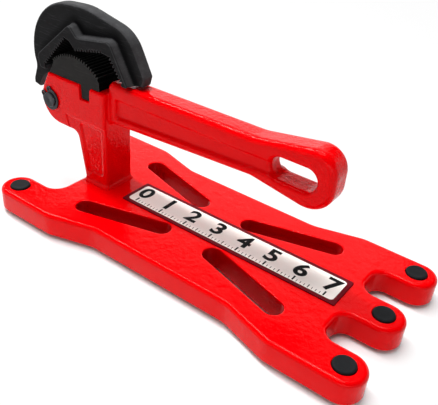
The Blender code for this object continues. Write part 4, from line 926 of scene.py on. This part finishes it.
mesh = curve_mesh(wire)
mesh.name = "jaw_spring_wound"
mesh.shade_smooth()
spring = bpy.data.objects.new("jaw_spring_wound", mesh)
scene.collection.objects.link(spring)
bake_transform(spring)
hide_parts("jaw_spring")
drawn, shader, tree, spot = new_material("drawn_spring_wire")
stain = add(tree, "ShaderNodeTexNoise", {"Vector": spot, "Scale": 1 / 0.002, "Detail": 4.0})["Fac"]
tone = add(tree, "ShaderNodeMix", {0: stain, 6: linear("6A6764"), 7: linear("9C9A97")}, data_type="RGBA")[2]
gloss = add(tree, "ShaderNodeMapRange", {"Value": stain, "To Min": 0.22, "To Max": 0.40})["Result"]
die_lines = add(tree, "ShaderNodeTexNoise", {"Vector": spot, "Scale": 1 / 0.0004, "Detail": 2.0})["Fac"]
bump = add(tree, "ShaderNodeBump", {"Height": die_lines, "Distance": 0.00001, "Strength": 0.6})["Normal"]
feed(tree, shader, {"Base Color": tone, "Roughness": gloss, "Normal": bump, "Metallic": 1.0})
mesh.materials.append(drawn)

# Label: a printed vinyl strip stuck along the middle of the top, a maroon border round a cream field.
# It carries a plain inch scale, strokes at eighths, halves and inches along its near edge, and bold numbers.
label_x, label_low, label_high = 0.03395, plate_top + 0.0003, plate_top + 0.0011
field_high, print_low = label_high - 0.00004, label_high - 0.00006
inch, scale_edge, number_base, number_size = 0.0254, -0.0116, -0.0041, 0.0202
number_width, number_stroke, number_rise = 1.12, 0.034, 0.00002
scale_start = label_x - 3.5 * inch


def printed_vinyl(name, dark, pale, gloss):
    """Printed vinyl: an even ink under a satin film, with a slight mottle, and ripples where it was smoothed
    on.
    """
    made, shader, tree, spot = new_material(name)
    mottle = add(tree, "ShaderNodeTexNoise", {"Vector": spot, "Scale": 1 / 0.007, "Detail": 4.0})["Fac"]
    ink = add(tree, "ShaderNodeMix", {0: mottle, 6: linear(dark), 7: linear(pale)}, data_type="RGBA")[2]
    film = add(tree, "ShaderNodeMapRange", {
        "Value": mottle, "To Min": gloss - 0.06, "To Max": gloss + 0.06})["Result"]
    ripple = add(tree, "ShaderNodeTexNoise", {"Vector": spot, "Scale": 1 / 0.010, "Detail": 2.0})["Fac"]
    bump = add(tree, "ShaderNodeBump", {"Height": ripple, "Distance": 0.00006, "Strength": 1.0})["Normal"]
    feed(tree, shader, {"Base Color": ink, "Roughness": film, "Normal": bump, "IOR": 1.12})
    return made


def sheet(name, length, width, corner, low, high, edge):
    """A thin rectangle with round corners and a softened upper rim, centred on the Z axis."""
    x, y = length / 2, width / 2
    outline = rounded([(x, -y, corner), (x, y, corner), (-x, y, corner), (-x, -y, corner)], 10)
    out = outwards(outline)
    rings = [(0.0, low), (0.0, high - edge), (edge * 0.3, high - edge * 0.3), (edge, high), (edge * 2, high)]
    return skin(name, [[(px, py, h) for px, py in np.array(outline) - out * inset] for inset, h in rings])


def numbers_mesh(name, numbers):
    """Bold, wide plain numbers in a row, pressed flat, each centred on its own stroke of the scale."""
    work = bmesh.new()
    for i, number in enumerate(numbers):
        text = bpy.data.curves.new("number", "FONT")
        text.body = str(number)
        text.align_x = "CENTER"
        text.size = number_size
        text.bevel_depth = number_size * number_stroke
        text.bevel_resolution = 1
        mesh = curve_mesh(text)
        flat = Matrix.Diagonal((number_width, 1.0, number_rise / text.bevel_depth, 1.0))
        spot = (scale_start + inch * i, number_base, label_high - number_rise)
        mesh.transform(Matrix.Translation(spot) @ flat)
        work.from_mesh(mesh)
    made = bpy.data.meshes.new(name)
    work.to_mesh(made)
    work.free()
    made.materials.clear()
    return made


maroon = printed_vinyl("maroon_ink_on_vinyl", "5E0612", "70101C", 0.34)
cream = printed_vinyl("cream_ink_on_vinyl", "F8F3EC", "FEFAF5", 0.38)
black_ink = printed_vinyl("black_ink_on_vinyl", "0C0C0D", "161617", 0.36)
border = sheet("label_border", 0.200, 0.0315, 0.0012, label_low, label_high - 0.00012, 0.0002)
cream_field = sheet("label_field", 0.1934, 0.0248, 0.003, label_high - 0.0002, field_high, 0.00003)
for mesh, ink, nodes in ((border, maroon, ["label_plate"]), (cream_field, cream, [])):
    mesh.transform(Matrix.Translation((label_x, 0, 0)))
    mesh.materials.append(ink)
    new_piece(mesh.name, mesh, "stand", "label_vinyl", *nodes)
for name, count, pitch, length, width in (("scale_eighths", 57, inch / 8, 0.0025, 0.0005),
                                          ("scale_halves", 15, inch / 2, 0.0036, 0.0008),
                                          ("scale_inches", 8, inch, 0.0050, 0.0013)):
    stroke = sheet(name + " stroke", width, length, width * 0.2, print_low, label_high, 0.00001)
    mesh = row_mesh(name, stroke, count, (scale_start, scale_edge + length / 2, 0), (pitch, 0, 0), black_ink)
    new_piece(name, mesh, "stand", "label_vinyl")
mesh = numbers_mesh("scale_numbers", range(8))
mesh.materials.append(black_ink)
new_piece("scale_numbers", mesh, "stand", "label_vinyl")

# Studio: a white paper floor that turns up into a low wall all round, a wide soft box and a narrow strip
# light overhead, a pale panel behind on the left that shows as sheen on the plate, and a weak fill in front.
floor_sides = 64
floor_rings = [(0.6, 0.0), (2.4, 0.0), (2.7, 0.05), (2.9, 0.20), (2.98, 0.45), (3.0, 1.30)]
floor_points, floor_faces = [], [tuple(range(floor_sides))]
for ring, (radius, height) in enumerate(floor_rings):
    for side in range(floor_sides):
        turn = 2 * math.pi * side / floor_sides
        floor_points.append((radius * math.cos(turn), radius * math.sin(turn), height))
        if ring:
            corners = ((ring - 1, side), (ring, side), (ring, side + 1), (ring - 1, side + 1))
            floor_faces.append([at * floor_sides + place % floor_sides for at, place in corners])
floor_mesh = bpy.data.meshes.new("floor")
floor_mesh.from_pydata(floor_points, [], floor_faces)
floor_mesh.shade_smooth()
floor = bpy.data.objects.new("floor", floor_mesh)
scene.collection.objects.link(floor)


def seen_as_white(tree, plain, spot):
    """Mixes a white glow into a shader for camera, mirrored and refracted rays, fully far off, less near the
    object and hardly at all close to it, so that its shadow stays.
    """
    away = add(tree, "ShaderNodeVectorMath", {0: spot}, operation="LENGTH")["Value"]
    most = add(tree, "ShaderNodeMapRange", {
        "Value": away, "From Min": 0.4, "From Max": 1.4, "To Min": 0.85})["Result"]
    ray = add(tree, "ShaderNodeLightPath")
    seen = ray["Is Camera Ray"]
    for kind in ("Is Glossy Ray", "Is Transmission Ray"):
        seen = add(tree, "ShaderNodeMath", {0: seen, 1: ray[kind]}, operation="MAXIMUM")[0]
    clear = add(tree, "ShaderNodeAmbientOcclusion", {"Distance": 0.06}, samples=8)["AO"]
    open_floor = add(tree, "ShaderNodeMath", {0: clear, 1: 2.0}, operation="POWER")[0]
    for share in (open_floor, most):
        seen = add(tree, "ShaderNodeMath", {0: seen, 1: share}, operation="MULTIPLY")[0]
    glow = add(tree, "ShaderNodeEmission", {"Color": (1.0, 1.0, 1.0, 1.0), "Strength": 1.0})[0]
    return add(tree, "ShaderNodeMixShader", {0: seen, 1: plain, 2: glow})[0]


paper, shader, tree, spot = new_material("white_paper")
feed(tree, shader, {"Base Color": linear("F2F2F2"), "Roughness": 0.9})
feed(tree, tree.nodes["Material Output"], {"Surface": seen_as_white(tree, shader.outputs[0], spot)})
floor_mesh.materials.append(paper)


def soft_box(name, spot, aim, width, height, power):
    """A rectangular soft light that points at a spot."""
    lamp = bpy.data.lights.new(name, "AREA")
    lamp.shape = "RECTANGLE"
    lamp.size = width
    lamp.size_y = height
    lamp.energy = power
    light = bpy.data.objects.new(name, lamp)
    light.location = spot
    light.rotation_mode = "QUATERNION"
    light.rotation_quaternion = (Vector(aim) - Vector(spot)).to_track_quat("-Z", "Y")
    light.visible_camera = False
    scene.collection.objects.link(light)


soft_box("overhead", (-0.15, 0.0, 1.2), (0, 0, 0), 1.3, 0.9, 10.5)
soft_box("strip", (-0.45, 0.05, 1.0), (0, 0, 0.05), 0.12, 1.4, 15.5)
soft_box("panel behind", (-0.95, 1.25, 0.83), (-0.95, 0, 0.83), 1.7, 1.0, 5.4)
soft_box("front fill", (0.65, -1.05, 0.28), (0, 0, 0.08), 1.0, 0.4, 2.8)

world = bpy.data.worlds.new("studio")
scene.world = world
world.use_nodes = True
feed(world.node_tree, world.node_tree.nodes["Background"], {"Color": (1.0, 1.0, 1.0, 1.0), "Strength": 0.06})
scene.view_settings.view_transform = "Standard"
